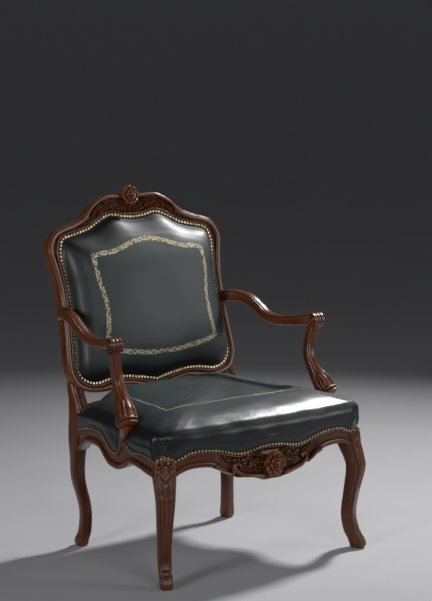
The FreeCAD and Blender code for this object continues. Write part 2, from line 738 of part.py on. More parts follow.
def tenon(seat, along, depth, thick, high, gap=0.0):
    """A tenon that goes depth past its seat, and as far back into its own piece."""
    return block(seat, along, 2 * depth + 2 * gap, thick + 2 * gap, high + 2 * gap)


def lean_tenon(u, v, depth, thick, high, gap=0.0):
    """A tenon that lies across the leaning back."""
    solid = Part.makeBox(2 * depth + 2 * gap, thick + 2 * gap, high + 2 * gap,
                         Vector(-depth - gap, -thick / 2 - gap, -high / 2 - gap))
    solid.Placement = Placement(on_back(u, v, -size.back_thick / 2 - 1), Rotation(x_way, out_lean * -1, up_lean, "XYZ"))
    return solid


front_seat = Vector(leg_top_centre.x - leg_half, front_foot_y + 22, joint_z)
side_seat = Vector(side_face_x(leg_top_centre.y) - size.rail_thick + 11, leg_top_centre.y + 38, joint_z)
post_seat = Vector(post_centre_x, post_front_y, joint_z)
rear_seat = Vector(post_inner_x, rear_rail_y + 1, joint_z)
arm_seat = on_back(size.waist_half - 6, arm_face_v, 0)
arm_way = (arm_start - arm_lead).normalize()

joints = {
    "front": lambda gap: tenon(front_seat, x_way, t_long, t_thick, size.rail_tenon_high, gap),
    "side": lambda gap: tenon(side_seat, y_way, t_long, t_thick, size.rail_tenon_high, gap),
    "post": lambda gap: tenon(post_seat, y_way, t_long, t_thick, size.rail_tenon_high, gap),
    "rear": lambda gap: tenon(rear_seat, x_way, t_long, t_thick, size.rail_tenon_high, gap),
    "crest": lambda gap: lean_tenon(crest_joint_half, mix(joint_low_v, shoulder_end_v, 0.48), t_long, t_thick, 30, gap),
    "lower": lambda gap: lean_tenon(lower_joint_half, -8, t_long, t_thick, 24, gap),
    "arm": lambda gap: block(arm_seat, arm_way, 40 + 2 * gap, t_thick + 2 * gap, 18 + 2 * gap),
    "foot": lambda gap: block(tail + Vector(-1, 0, -9), y_way, 16 + 2 * gap, t_thick + 2 * gap, 32 + 2 * gap),
    "head": lambda gap: block(scroll + Vector(-6, 8, -6), y_way, 14 + 2 * gap, t_thick + 2 * gap, 30 + 2 * gap),
}


def with_tenons(solid, *names):
    """The piece with its tenons on."""
    for name in names:
        solid = solid.fuse(joints[name](0.0))
    return solid.removeSplitter()


def with_mortises(solid, *names):
    """The piece with a clearance mortise for each tenon."""
    for name in names:
        solid = solid.cut(joints[name](fit))
    return solid


def both(solid):
    """A solid and its copy on the other side, as one tool."""
    return Part.makeCompound([solid, mirrored(solid)])


support = with_tenons(support, "foot", "head")
arm = with_mortises(arm, "head").cut(post)
arm = with_tenons(arm, "arm")
side_rail = main_solid(side_rail.cut(front_leg).cut(rear_leg_solid(0)))
side_rail = with_mortises(with_tenons(side_rail, "side", "post"), "foot")
front_rail = main_solid(front_rail.cut(both(front_leg)))
front_rail = front_rail.fuse(both(joints["front"](0.0))).removeSplitter()
front_leg_blank = front_leg
post_blank = post
front_leg = with_mortises(front_leg, "front", "side")
crest = crest.fuse(both(joints["crest"](0.0))).removeSplitter()
lower_rail = lower_rail.fuse(both(joints["lower"](0.0))).removeSplitter()
post = with_mortises(post, "post", "rear", "crest", "lower", "arm")

# Oak pegs through the tenons, cut flush with the wood that they go in from.
peg_span = t_thick + 16
peg_r = size.peg_radius
half_span = peg_span / 2
leg_pegs = [
    rod(front_seat + Vector(12, -half_span, 0), y_way, peg_r, 90),
    rod(side_seat + Vector(half_span, -12, 0), x_way * -1, peg_r, 90),
]
post_pegs = [
    rod(post_seat + Vector(half_span, 12, 0), x_way * -1, peg_r, 60),
    rod(rear_seat + Vector(12, -half_span + 4, 0), y_way, peg_r, 60),
]
stile_pegs = []
for peg_u, peg_v in ((crest_joint_half + 12, mix(joint_low_v, shoulder_end_v, 0.48)), (lower_joint_half + 12, -8)):
    stile_pegs.append(rod(on_back(peg_u, peg_v, -size.back_thick - 6), out_lean, peg_r, size.back_thick - 2))
rail_peg = rod(tail + Vector(half_span, 0, -13), x_way * -1, peg_r, 60)
peg_tools = Part.makeCompound(leg_pegs + post_pegs + stile_pegs + [rail_peg])
pegs_right = [main_solid(tool.common(front_leg_blank)) for tool in leg_pegs]
pegs_right += [main_solid(tool.common(post_blank)) for tool in post_pegs + stile_pegs]
pegs_right.append(main_solid(rail_peg.common(side_rail.fuse(joints["foot"](fit)))))
both_peg_tools = both(peg_tools)

# Screws: one through each stile into its arm, and two through each corner block.
screw_head_radius = 2.1 * size.screw_radius
screw_head_deep = 1.6 * size.screw_radius


def screw(head_centre, direction, length):
    """A wood screw with a countersunk head, from the middle of its head face."""
    direction = Vector(direction).normalize()
    head = Part.makeCone(screw_head_radius, size.screw_radius, screw_head_deep, head_centre, direction)
    shank = Part.makeCylinder(size.screw_radius, length, head_centre, direction)
    return head.fuse(shank).removeSplitter()


arm_screw_reach = size.back_thick / abs(arm_way.dot(out_lean))
arm_screw = screw(arm_seat + arm_way * (arm_screw_reach - 0.5), arm_way * -1, arm_screw_reach + 16)

side_dir = Vector(rear_corner.x - corner_out.x, rear_corner.y - corner_out.y, 0).normalize()
block_top = size.rail_top - 8
block_clear = {"front": 46, "rear": 24}


def side_inner_x(y):
    """Half width of the inner face of a side rail at y."""
    start_x = side_face_x(side_start_y) - size.rail_thick
    end_x = side_face_x(side_end_y) - size.rail_thick
    return mix(start_x, end_x, (y - side_start_y) / (side_end_y - side_start_y))


inner_way = Vector(side_inner_x(100) - side_inner_x(0), 100, 0).normalize()
block_corners = {
    "front": (Vector(side_inner_x(inner_front_y), inner_front_y, 0), inner_way),
    "rear": (Vector(side_inner_x(rear_inner_y), rear_inner_y, 0), inner_way * -1),
}


def corner_block(label, place, side):
    """A glued and screwed brace across a corner of the seat frame, as a padded sketch."""
    corner, along_side = block_corners[place]
    body = doc.addObject("PartDesign::Body", label + "_body")
    sketch = body.newObject("Sketcher::SketchObject", label + "_sketch")
    plane = [f for f in body.Origin.OriginFeatures if f.Role == "XY_Plane"][0]
    sketch.AttachmentSupport = [(plane, "")]
    sketch.MapMode = "FlatFace"
    short = block_clear[place]
    reaches = [(-1, 0, "block_leg"), (-1, 0, None), (along_side.x, along_side.y, None),
               (along_side.x, along_side.y, "block_leg")]
    points = []
    for dx, dy, alias in reaches:
        long = size.block_leg if alias else short
        points.append(Vector(side * dx * long, dy * long, 0))
    for a, b in zip(points, points[1:] + points[:1]):
        sketch.addGeometry(Part.LineSegment(a, b), False)
    for index in range(4):
        sketch.addConstraint(Sketcher.Constraint("Coincident", index, 2, (index + 1) % 4, 1))
    for index, (dx, dy, alias) in enumerate(reaches):
        for kind, share, value in (("DistanceX", side * dx, points[index].x), ("DistanceY", dy, points[index].y)):
            number = sketch.addConstraint(Sketcher.Constraint(kind, -1, 1, index, 1, value))
            if alias and abs(share) > 1e-9:
                sketch.setExpression("Constraints[%d]" % number, "Sizes.%s * %.9f" % (alias, share))
    pad = body.newObject("PartDesign::Pad", label + "_pad")
    pad.Profile = sketch
    pad.setExpression("Length", "Sizes.block_height")
    body.Tip = pad
    body.Placement = Placement(Vector(side * corner.x, corner.y, block_top - size.block_height), Rotation())
    sketch.Visibility = False
    return body


def block_screws_at(place):
    """The two screws of a right corner block, square to the rails that they hold."""
    corner, along_side = block_corners[place]
    middle_z = block_top - size.block_height / 2
    into_end = Vector(0, -1, 0) if place == "front" else Vector(0, 1, 0)
    into_side = Vector(-along_side.y, along_side.x, 0)
    if into_side.x < 0:
        into_side = into_side * -1
    face_a = corner + Vector(-size.block_leg, 0, 0)
    face_b = corner + along_side * size.block_leg
    screws = []
    for share, way in ((0.3, into_end), (0.7, into_side)):
        head = face_a + (face_b - face_a) * share + Vector(0, 0, middle_z)
        screws.append(screw(head + way * 2.0, way, size.screw_length))
    return screws


block_screws_right = block_screws_at("front") + block_screws_at("rear")
block_screw_tool = both(Part.makeCompound(block_screws_right))

# Holes for the pegs and the screws.
front_leg = front_leg.cut(peg_tools)
post = post.cut(peg_tools).cut(arm_screw)
arm = arm.cut(arm_screw)
front_rail = front_rail.cut(both_peg_tools).cut(block_screw_tool)
side_rail = side_rail.cut(peg_tools).cut(Part.makeCompound(block_screws_right))
support = support.cut(peg_tools)
crest = crest.cut(both_peg_tools)
lower_rail = lower_rail.cut(both_peg_tools)

# Plan of the upholstered seat, followed by the leather.
leather_out = -size.rail_rebate + size.cloth_gap + size.leather
leg_face_point = front_foot + leg_face * (leg_shift_top + size.leg_top_depth / 2)
seat_rear_y = rear_rail_y + size.rear_rail_thick / 2 + size.rail_rebate
side_bow_y = mix(corner_out.y, rear_corner.y, 0.5)


def seat_plan(offset, scale=1.0, height=0.0, rear_set=0.0):
    """The seat outline moved outwards by offset, shrunk towards its middle and drawn in at the rear."""
    right = [
        Vector(corner_in.x, corner_in.y - offset, 0),
        leg_face_point + leg_face * offset,
        Vector(corner_out.x + offset, corner_out.y, 0),
        Vector(side_face_x(side_bow_y) + offset, side_bow_y, 0),
        Vector(rear_corner.x + offset, rear_corner.y, 0),
        Vector(post_centre_x + 8 + offset, rear_corner.y + 20, 0),
        Vector(post_centre_x - 6 + offset, seat_rear_y + offset - rear_set, 0),
    ]
    front = Vector(0, front_mid.y - offset, 0)
    rear = Vector(0, seat_rear_y + offset - rear_set, 0)
    left = [Vector(-p.x, p.y, 0) for p in right]
    ring = [left[0], front] + right + [rear] + left[:0:-1]
    middle = Vector(0, seat_middle_y, 0)
    ring = [middle + (p - middle) * scale + Vector(0, 0, height) for p in ring]
    return arc_wire(ring)


seat_middle_y = front_foot_y + 245
edge_z = size.seat_edge_height
rise = size.seat_crown_height - edge_z
swell = size.seat_swell


def layered(sections):
    """A closed solid of straight bands between one section and the next."""
    solid = Part.makeLoft(sections, True, True)
    if solid.Volume < 0:
        solid.reverse()
    return solid


def seat_form(inward, base_z):
    """The seat pad's form, its surface moved inwards by inward, down to base_z."""
    out = leather_out - inward
    high = edge_z - inward
    shoulder = high - size.rail_top
    rows = [
        (0, 1.0, base_z, 0), (0, 1.0, size.rail_top + 1, 0),
        (swell * 0.35, 1.0, size.rail_top + shoulder * 0.14, 0.15),
        (swell * 0.8, 1.0, size.rail_top + shoulder * 0.3, 0.4), (swell, 1.0, size.rail_top + shoulder * 0.48, 0.6),
        (swell * 0.85, 0.997, size.rail_top + shoulder * 0.66, 0.8),
        (swell * 0.4, 0.99, size.rail_top + shoulder * 0.82, 0.95),
        (0, 0.975, size.rail_top + shoulder * 0.94, 1), (0, 0.945, high + rise * 0.06, 1),
        (0, 0.90, high + rise * 0.20, 1), (0, 0.82, high + rise * 0.40, 1), (0, 0.70, high + rise * 0.62, 1),
        (0, 0.54, high + rise * 0.81, 1), (0, 0.36, high + rise * 0.93, 1), (0, 0.16, high + rise * 0.99, 1),
    ]
    return layered([seat_plan(out + wide, scale, height, size.seat_rear_set * rear) for wide, scale, height, rear in rows])


def corner_prism(drop):
    """A prism through the right front leg under the nail arch, lowered by drop."""
    arch = size.front_nail_corner - drop
    line = [(-60, arch - 4), (-42, arch - 2), (-24, arch), (-13, arch + 8), (0, arch + 11), (13, arch + 8), (24, arch),
            (42, arch - 2), (60, arch - 4)]
    start = front_foot + leg_face * (leg_shift_top - 4)
    moved = [start + leg_across * across + Vector(0, 0, height) for across, height in line]
    return below(moved, 100, leg_face, 120)


def under_nails(drop):
    """Everything of the seat cover's space that lies under the nail lines, on the right and in front."""
    front = front_prism(spread_ends(lifted(front_nail_points, -drop), x_way, 40), 100)
    side = side_prism(spread_ends(lifted(side_nail_points, -drop), y_way, 40), 100)
    corner = corner_prism(drop)
    return [front, side, mirrored(side), corner, mirrored(corner)]


# The step above the nail lines that the leather lies in, on the rails and the front legs.
leather_step = layered([seat_plan(60, 1.0, 200), seat_plan(60, 1.0, size.rail_top + 1)])
leather_step = leather_step.cut(layered([
    seat_plan(-size.rail_rebate, 1.0, 190), seat_plan(-size.rail_rebate, 1.0, size.rail_top + 20)]))
for prism in under_nails(size.nail_edge + 0.5):
    leather_step = leather_step.cut(prism)
front_leg = main_solid(front_leg.cut(leather_step))
side_rail = main_solid(side_rail.cut(leather_step))
front_rail = main_solid(front_rail.cut(leather_step))

# Seat cover: leather over the pad, down to the nails, cut round the posts and the arm supports.
seat_low = size.front_nail_dip - 30
gap_soft = size.cloth_gap
webs_top = size.rail_top + 2 * size.web_thick + gap_soft
burlap_low = webs_top + gap_soft
stuff_low = burlap_low + size.burlap_thick + gap_soft
seat_outer = seat_form(0, seat_low)
seat_inner = seat_form(size.leather, seat_low - 5)
seat_cover = seat_outer.cut(seat_inner)
for prism in under_nails(size.nail_edge):
    seat_cover = seat_cover.cut(prism)
rear_hem = Part.makeBox(1200, 200, 200, Vector(-600, rear_corner.y + 6, size.rail_top - 18 - 200))
seat_cover = seat_cover.cut(rear_hem)
soft_cutters = [rear_leg_solid(gap_soft), support_solid(gap_soft)]
soft_cutters += [mirrored(cutter) for cutter in soft_cutters]
for cutter in soft_cutters:
    seat_cover = seat_cover.cut(cutter)

seat_stuffing = seat_form(size.leather + 3 * gap_soft, seat_low)
seat_stuffing = seat_stuffing.cut(Part.makeBox(1200, 1200, 400, Vector(-600, -600, stuff_low - 400)))
stuff_cutters = [rear_leg_solid(2.6), support_solid(2.6)]
for cutter in stuff_cutters + [mirrored(cutter) for cutter in stuff_cutters]:
    seat_stuffing = seat_stuffing.cut(cutter)

# Back pad: leather over a stuffed form in front of the frame.
pad_middle_v = 0.43 * top_v
edge_w = size.back_edge_depth
crown_w = size.back_crown_depth - size.back_edge_depth
border_w = -size.rail_rebate + size.cloth_gap + size.leather


def back_plan(inset, scale, w):
    """The back outline moved inwards by inset and shrunk towards its middle, at height w."""
    moved = shifted(nail_half, inset)
    return whole_outline([(u * scale, pad_middle_v + (v - pad_middle_v) * scale) for u, v in moved], w)


def back_bulge(inward):
    """The rising rows of the back pad, its surface moved inwards by inward."""
    rows = [
        (8, 1.0, edge_w * 0.24), (9, 1.0, edge_w * 0.52), (11, 1.0, edge_w * 0.80), (15, 1.0, edge_w),
        (15, 0.975, edge_w + crown_w * 0.20), (15, 0.94, edge_w + crown_w * 0.36),
        (15, 0.86, edge_w + crown_w * 0.55), (15, 0.72, edge_w + crown_w * 0.75),
        (15, 0.52, edge_w + crown_w * 0.90), (15, 0.30, edge_w + crown_w * 0.98), (15, 0.12, edge_w + crown_w),
    ]
    return [back_plan(inset + inward, scale, w - inward) for inset, scale, w in rows]


back_outer = layered([
    back_plan(-size.nail_edge, 1.0, border_w - size.leather), back_plan(-size.nail_edge, 1.0, border_w),
    back_plan(4.6, 1.0, border_w),
] + back_bulge(0))
back_inner = layered([back_plan(7.5, 1.0, -6), back_plan(7.5, 1.0, border_w)] + back_bulge(size.leather))
back_cover = back_outer.cut(back_inner)

back_webs_top = -size.rail_rebate + 2 * size.web_thick + 0.1
back_burlap_low = back_webs_top + gap_soft
back_stuff_low = back_burlap_low + size.burlap_thick + gap_soft
back_burlap = slab(back_plan(10, 1.0, 0), back_burlap_low, back_burlap_low + size.burlap_thick)
soft_in = size.leather + gap_soft
back_stuffing = layered([back_plan(7.5 + gap_soft, 1.0, back_stuff_low - 8),
                         back_plan(7.5 + gap_soft, 1.0, border_w - gap_soft)] + back_bulge(soft_in))
back_stuffing = back_stuffing.cut(slab(back_plan(-30, 1.0, 0), -60, back_stuff_low))

# Outside back: leather over the rear of the frame.
rear_w = -size.back_thick - size.cloth_gap
rear_face_w = rear_w - size.leather


def rear_form(inward):
    """The slightly swollen outside back, its surface moved inwards by inward."""
    rows = [(4, 1.0, rear_face_w), (16, 1.0, rear_face_w), (16, 0.97, rear_face_w - size.back_rear_crown * 0.15),
            (16, 0.85, rear_face_w - size.back_rear_crown * 0.5), (16, 0.6, rear_face_w - size.back_rear_crown * 0.85),
            (16, 0.3, rear_face_w - size.back_rear_crown), (16, 0.1, rear_face_w - size.back_rear_crown * 1.04)]
    if inward:
        rows = [(22, scale, w + inward) for inset, scale, w in rows[1:]]
        first = [back_plan(22, 1.0, rear_w + 4)]
    else:
        first = [back_plan(4, 1.0, rear_w)]
    return layered(first + [back_plan(inset, scale, w) for inset, scale, w in rows])


back_outside = rear_form(0).cut(rear_form(size.leather))

# Brass nails: domed heads, face to face on the leather.
dome_radius = (size.nail_radius ** 2 + size.nail_rise ** 2) / (2 * size.nail_rise)
dome_drop = dome_radius - size.nail_rise
dome = Part.makeSphere(dome_radius, Vector(0, 0, -dome_drop), z_way, math.degrees(math.asin(dome_drop / dome_radius)), 90)


def nail_at(place, outwards):
    """A nail head on its place, pointing outwards."""
    head = dome.copy()
    head.Placement = Placement(place + outwards * 0.02, Rotation(z_way, outwards))
    return head


def spaced(wire):
    """Points along a line, one nail pitch apart or nearly."""
    count = max(2, round(wire.Length / size.nail_pitch) + 1)
    return wire.discretize(Number=count)


def ring_nails(outline, outwards):
    """Nails all round a closed outline."""
    points = spaced(outline)
    if (points[0] - points[-1]).Length < 1:
        points = points[:-1]
    return Part.makeCompound([nail_at(point, outwards) for point in points])


back_nails = ring_nails(back_plan(0, 1.0, border_w), out_lean)
back_outside_nails = ring_nails(back_plan(10, 1.0, rear_face_w), out_lean * -1)

seat_nail_list = []
front_centre = Vector(0, front_mid.y + front_radius, 0)
for point in spaced(arc_wire(front_nail_points, closed=False)):
    surface = Vector(point.x, front_face_y(point.x) - leather_out, 0)
    seat_nail_list.append(nail_at(surface + Vector(0, 0, point.z), (surface - front_centre).normalize()))
corner_arc = Part.Arc(
    Vector(corner_in.x, corner_in.y - leather_out, 0), leg_face_point + leg_face * leather_out,
    Vector(corner_out.x + leather_out, corner_out.y, 0))
right_nails = []
corner_edge = corner_arc.toShape()
corner_places = corner_edge.discretize(Number=7)[1:-1]
for place in corner_places:
    across = (place - leg_face_point).dot(leg_across)
    arch = 11 * max(0.0, 1 - (across / 26) ** 2)
    outwards = (place - corner_edge.Curve.Center).normalize()
    right_nails.append(nail_at(place + Vector(0, 0, size.front_nail_corner + arch), outwards))
side_out = Vector(side_dir.y, -side_dir.x, 0)
last_nail_y = rear_corner.y - 8
for point in spaced(arc_wire(side_nail_points, closed=False)):
    # No nail lies under the foot of the arm support, which covers the top of the line in front of the lobe.
    under_foot = point.z >= size.rail_top - 11 and point.y < lobe_y
    if not under_foot and point.y < last_nail_y:
        surface = Vector(side_face_x(point.y) + leather_out + 0.1, point.y, point.z)
        right_nails.append(nail_at(surface, side_out))
riser_z = size.side_nail_rear + 1.6 * size.nail_pitch
while riser_z < size.rail_top - 2:
    surface = Vector(side_face_x(last_nail_y) + leather_out + 0.1, last_nail_y, riser_z)
    right_nails.append(nail_at(surface, side_out))
    riser_z += size.nail_pitch
rear_hem_z = size.rail_top - 12
rear_line = Part.Wire(line_edges([Vector(-post_inner_x + 14, seat_rear_y + leather_out, rear_hem_z),
                                  Vector(post_inner_x - 14, seat_rear_y + leather_out, rear_hem_z)]))
rear_nails = [nail_at(point, y_way) for point in spaced(rear_line)]
seat_nails = Part.makeCompound(seat_nail_list + right_nails + [mirrored(nail) for nail in right_nails] + rear_nails)

# Burlap over the seat webbing.
burlap_half = [
    Vector(corner_in.x - 10, inner_front_y - 26, 0),
    Vector(side_face_x(corner_out.y + 40) - 34, corner_out.y + 40, 0),
    Vector(side_face_x(post_front_y - 8) - 34, post_front_y - 8, 0),
    Vector(post_inner_x - 5, post_front_y - 8, 0),
    Vector(post_inner_x - 5, rear_rail_y + 4, 0),
]
burlap_ring = burlap_half + [Vector(-p.x, p.y, 0) for p in burlap_half[::-1]]
burlap_wire = Part.Wire(line_edges(burlap_ring + burlap_ring[:1]))
seat_burlap = upright(burlap_wire, burlap_low, burlap_low + size.burlap_thick)
for cutter in [support_solid(2.0), mirrored(support_solid(2.0))]:
    seat_burlap = seat_burlap.cut(cutter)

# Sculpted pieces of the frame, and the soft pieces.
for label, shape in (
        ("front_leg", front_leg), ("rear_post", post), ("side_seat_rail", side_rail), ("arm", arm),
        ("arm_support", support)):
    keep(label + "_right", main_solid(shape))
    keep(label + "_left", mirrored(main_solid(shape)))
keep("front_seat_rail", main_solid(front_rail))
keep("crest_rail", main_solid(crest))
keep("lower_back_rail", main_solid(lower_rail))
keep("seat_leather_cover", main_solid(seat_cover))
keep("seat_stuffing", main_solid(seat_stuffing))
keep("seat_burlap", main_solid(seat_burlap))
keep("back_leather_cover", main_solid(back_cover))
keep("back_stuffing", main_solid(back_stuffing))
keep("back_burlap", back_burlap)
keep("back_outside_cover", main_solid(back_outside))
keep("seat_nails", seat_nails)
keep("back_nails", back_nails)
keep("back_outside_nails", back_outside_nails)
keep("frame_pegs", both(Part.makeCompound(pegs_right)))
keep("arm_screws", both(arm_screw))
keep("block_screws", block_screw_tool)


def helper(label, shape):
    """A shape in the document that only serves to cut another."""
    feature = doc.addObject("Part::Feature", label)
    feature.Shape = shape
    return feature


def bound_box(label, length, width, height, corner):
    """A box with its sizes bound to the sheet, at its corner."""
    box = doc.addObject("Part::Box", label)
    box.setExpression("Length", length)
    box.setExpression("Width", width)
    box.setExpression("Height", height)
    box.Placement = corner if isinstance(corner, Placement) else Placement(corner, Rotation())
    return box


def joined(kind, label, base, tool):
    """A boolean of two objects of the document."""
    result = doc.addObject(kind, label)
    result.Base = base
    result.Tool = tool
    return result


# Rear seat rail: a straight bar with its tenons, against the posts.
bar_half = post_inner_x + 2
rail_bar = bound_box("rear_rail_bar", "2 * (Sizes.hip_half - 3 - Sizes.post_width) + 4", "Sizes.rear_rail_thick",
                     "Sizes.rear_rail_deep", Vector(-bar_half, rear_inner_y, size.rail_top - size.rear_rail_deep))
tenon_bar = bound_box("rear_tenon_bar", "2 * (Sizes.hip_half - 3 - Sizes.post_width) + 2 * Sizes.tenon_length",
                      "Sizes.tenon_thick", "Sizes.rail_tenon_high",
                      Vector(-post_inner_x - size.tenon_length, rear_seat.y - size.tenon_thick / 2,
                             joint_z - size.rail_tenon_high / 2))
coped_bar = joined("Part::Cut", "rear_rail_coped", rail_bar, helper("posts_form", both(rear_leg_solid(0))))
tenoned_bar = joined("Part::Fuse", "rear_rail_tenoned", coped_bar, tenon_bar)
rail_holes = helper("rear_rail_holes", Part.makeCompound(both_peg_tools.Solids + block_screw_tool.Solids))
keep_object("rear_seat_rail", joined("Part::Cut", "rear_seat_rail", tenoned_bar, rail_holes))

# Corner blocks, bored for their screws.
screws_form = helper("block_screws_form", block_screw_tool)
for place in ("front", "rear"):
    for side, name in ((1, "right"), (-1, "left")):
        label = "corner_block_%s_%s" % (place, name)
        body = corner_block(label, place, side)
        keep_object(label, joined("Part::Cut", label, body, screws_form))


def strap_group(label, straps):
    """A group of webbing straps."""
    group = doc.addObject("Part::Compound", label)
    group.Links = straps
    return keep_object(label, group)


# Seat webbing: straps from front to rear, with straps from side to side over them.
strap_start = inner_front_y - 24
strap_long = rear_inner_y + 14 - strap_start
straps = []
for number in range(5):
    x = (number - 2) * 96 - size.web_width / 2
    straps.append(bound_box("long_strap_%d" % number, "Sizes.web_width", "%.3f" % strap_long, "Sizes.web_thick",
                            Vector(x, strap_start, size.rail_top)))
strap_group("seat_webbing_lengthwise", straps)
straps = []
for number, y in enumerate((-225, -164, -66, 12, 90)):
    half = side_face_x(y + size.web_width / 2) - 14
    straps.append(bound_box("cross_strap_%d" % number, "%.3f" % (2 * half), "Sizes.web_width", "Sizes.web_thick",
                            Vector(-half, y - size.web_width / 2, size.rail_top + size.web_thick + 0.1)))
strap_group("seat_webbing_crosswise", straps)

# Back webbing on the front of the back frame.
web_w = -size.rail_rebate
straps = []
for number, (u, low_v, high_v) in enumerate(((-110, 12, nail_top_v - 35), (0, -3, nail_top_v - 21),
                                             (110, 12, nail_top_v - 35))):
    corner = Placement(on_back(u - size.web_width / 2, low_v, web_w), Rotation(x_way, up_lean, out_lean, "XYZ"))
    straps.append(bound_box("upright_strap_%d" % number, "Sizes.web_width", "%.3f" % (high_v - low_v),
                            "Sizes.web_thick", corner))
strap_group("back_webbing_upright", straps)
straps = []
level_half = size.waist_half - size.frame_face - 12
for number in range(4):
    v = 70 + number * 90
    corner = Placement(on_back(-level_half, v - size.web_width / 2, web_w + size.web_thick + 0.1),
                       Rotation(x_way, up_lean, out_lean, "XYZ"))
    straps.append(bound_box("level_strap_%d" % number, "%.3f" % (2 * level_half), "Sizes.web_width",
                            "Sizes.web_thick", corner))
strap_group("back_webbing_level", straps)

doc.recompute()

# Checks, then one file for each sub-part.
for thing in doc.Objects:
    for state in thing.State:
        if state in ("Invalid", "Error"):
            raise RuntimeError("%s is %s" % (thing.Label, state))
for node in nodes:
    if node.Shape.isNull() or not node.Shape.isValid() or not node.Shape.Solids:
        raise RuntimeError("%s has no valid shape" % node.Label)
    for solid in node.Shape.Solids:
        if solid.Volume <= 0:
            raise RuntimeError("%s has a solid without volume" % node.Label)

os.makedirs("parts", exist_ok=True)
for node in nodes:
    node.Shape.exportStep(os.path.join("parts", node.Label + ".step"))
    print(node.Label, len(node.Shape.Solids), round(node.Shape.Volume))
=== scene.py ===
import math

import bpy
import numpy as np
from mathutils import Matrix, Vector, kdtree


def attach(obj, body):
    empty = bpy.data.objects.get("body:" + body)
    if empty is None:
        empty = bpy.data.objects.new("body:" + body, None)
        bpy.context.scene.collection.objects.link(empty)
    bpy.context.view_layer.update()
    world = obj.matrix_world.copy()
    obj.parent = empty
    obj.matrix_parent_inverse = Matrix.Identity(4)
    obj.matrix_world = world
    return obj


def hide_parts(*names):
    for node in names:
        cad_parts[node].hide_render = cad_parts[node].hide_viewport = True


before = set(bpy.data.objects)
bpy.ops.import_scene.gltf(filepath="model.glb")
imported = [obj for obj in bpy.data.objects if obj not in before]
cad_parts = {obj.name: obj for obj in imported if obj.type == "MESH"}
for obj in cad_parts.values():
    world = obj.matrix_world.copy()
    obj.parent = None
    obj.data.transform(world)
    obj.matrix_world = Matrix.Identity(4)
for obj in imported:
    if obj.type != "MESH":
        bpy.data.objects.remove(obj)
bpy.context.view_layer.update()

bl_info = {
    "name": "Carved Fauteuil",
    "version": (1, 0, 0),
    "blender": (4, 5, 0),
    "location": "3D View > Sidebar > Fauteuil",
    "description": "Builds a carved open armchair with a leather seat and back",
    "category": "Add Mesh",
}

MM = 0.001


def linear(code):
    """An sRGB hex colour as linear red, green, blue and alpha."""
    parts = [int(code[i:i + 2], 16) / 255 for i in (1, 3, 5)]
    return [c / 12.92 if c <= 0.04045 else ((c + 0.055) / 1.055) ** 2.4 for c in parts] + [1.0]


def colour(name, description, code):
    """A colour that a user can change."""
    return bpy.props.FloatVectorProperty(
        name=name, description=description, default=linear(code), size=4, subtype="COLOR", min=0, max=1)


def length(name, description, default):
    """A size in millimetres that a user can change."""
    return bpy.props.FloatProperty(name=name, description=description, default=default, min=0, max=100)


class CarvingSizes(bpy.types.PropertyGroup):
    """Sizes of the carved wood, in millimetres."""
    inner_bead: length("Inner bead", "Height of the bead beside the leather", 3.2)
    outer_roll: length("Outer roll", "Height of the roll along the outer edge of the frame", 5.0)
    roll_width: length("Roll width", "Half width of that roll", 6.5)
    ground: length("Ground", "Depth of the sunk ground behind the carving", 6.5)
    leaf_height: length("Leaf height", "How far the carved leaves stand off the frame", 5.5)


class LeatherSizes(bpy.types.PropertyGroup):
    """Sizes of the leather and its gilt band, in millimetres."""
    band_width: length("Gilt band", "Width of the tooled band on the back", 15.0)
    seat_band_width: length("Seat band", "Width of the tooled line on the seat", 5.0)
    grain: length("Grain", "Width of one cell of the leather's grain", 1.6)
    crease: length("Crease", "Depth of the folds at the front corners", 4.0)


class ChairColours(bpy.types.PropertyGroup):
    """Colours of the finishes."""
    wood: colour("Wood", "Waxed wood where it is rubbed", "#6b330b")
    wood_dark: colour("Wood, dark", "Waxed wood between the rubbed places", "#381705")
    # Painted shade in the hollows of the carving, and the real dark of the wood's pores.
    wood_pores_and_shade: colour("Wood, hollows", "Old wax in the hollows of the carving", "#0b0403")
    # Painted highlight on the ridges of the carving, together with stain worn thin there.
    wood_wear_and_highlight: colour("Wood, ridges", "Stain worn thin on the ridges of the carving", "#8f4d18")
    leather: colour("Leather", "Bottle green leather", "#0c1514")
    leather_light: colour("Leather, clouds", "The same leather where the dye took less", "#141f1e")
    # Painted sheen together with wear: this lighter grey is laid on the swelled tops of the pads.
    leather_wear_and_sheen: colour("Leather, worn", "The same leather where it is rubbed", "#465153")
    gilt: colour("Gilt", "Gold leaf of the tooled band", "#ecd79a")
    brass: colour("Brass", "Aged brass nail heads", "#cdbb8c")
    floor: colour("Floor", "Plain studio floor", "#c6c6ca")


# ---- small tools ----

def deselect():
    """Leaves nothing selected."""
    bpy.ops.object.select_all(action="DESELECT")


def pick(piece):
    """Makes a piece the only selected and active object."""
    deselect()
    piece.select_set(True)
    bpy.context.view_layer.objects.active = piece


def ease(x, low, high):
    """A soft step from 0 at low to 1 at high."""
    t = np.clip((x - low) / (high - low), 0, 1)
    return t * t * (3 - 2 * t)


def roll(x, centre, half):
    """A half round of height 1."""
    return np.sqrt(np.clip(1 - ((x - centre) / half) ** 2, 0, 1))


def travelled(line):
    """How far each point of a line is along it."""
    return np.concatenate([[0], np.cumsum(np.linalg.norm(np.diff(line, axis=0), axis=1))])


def directions(line):
    """The direction of a line at each of its points."""
    way = np.gradient(line, axis=0)
    return way / np.linalg.norm(way, axis=1)[:, None]


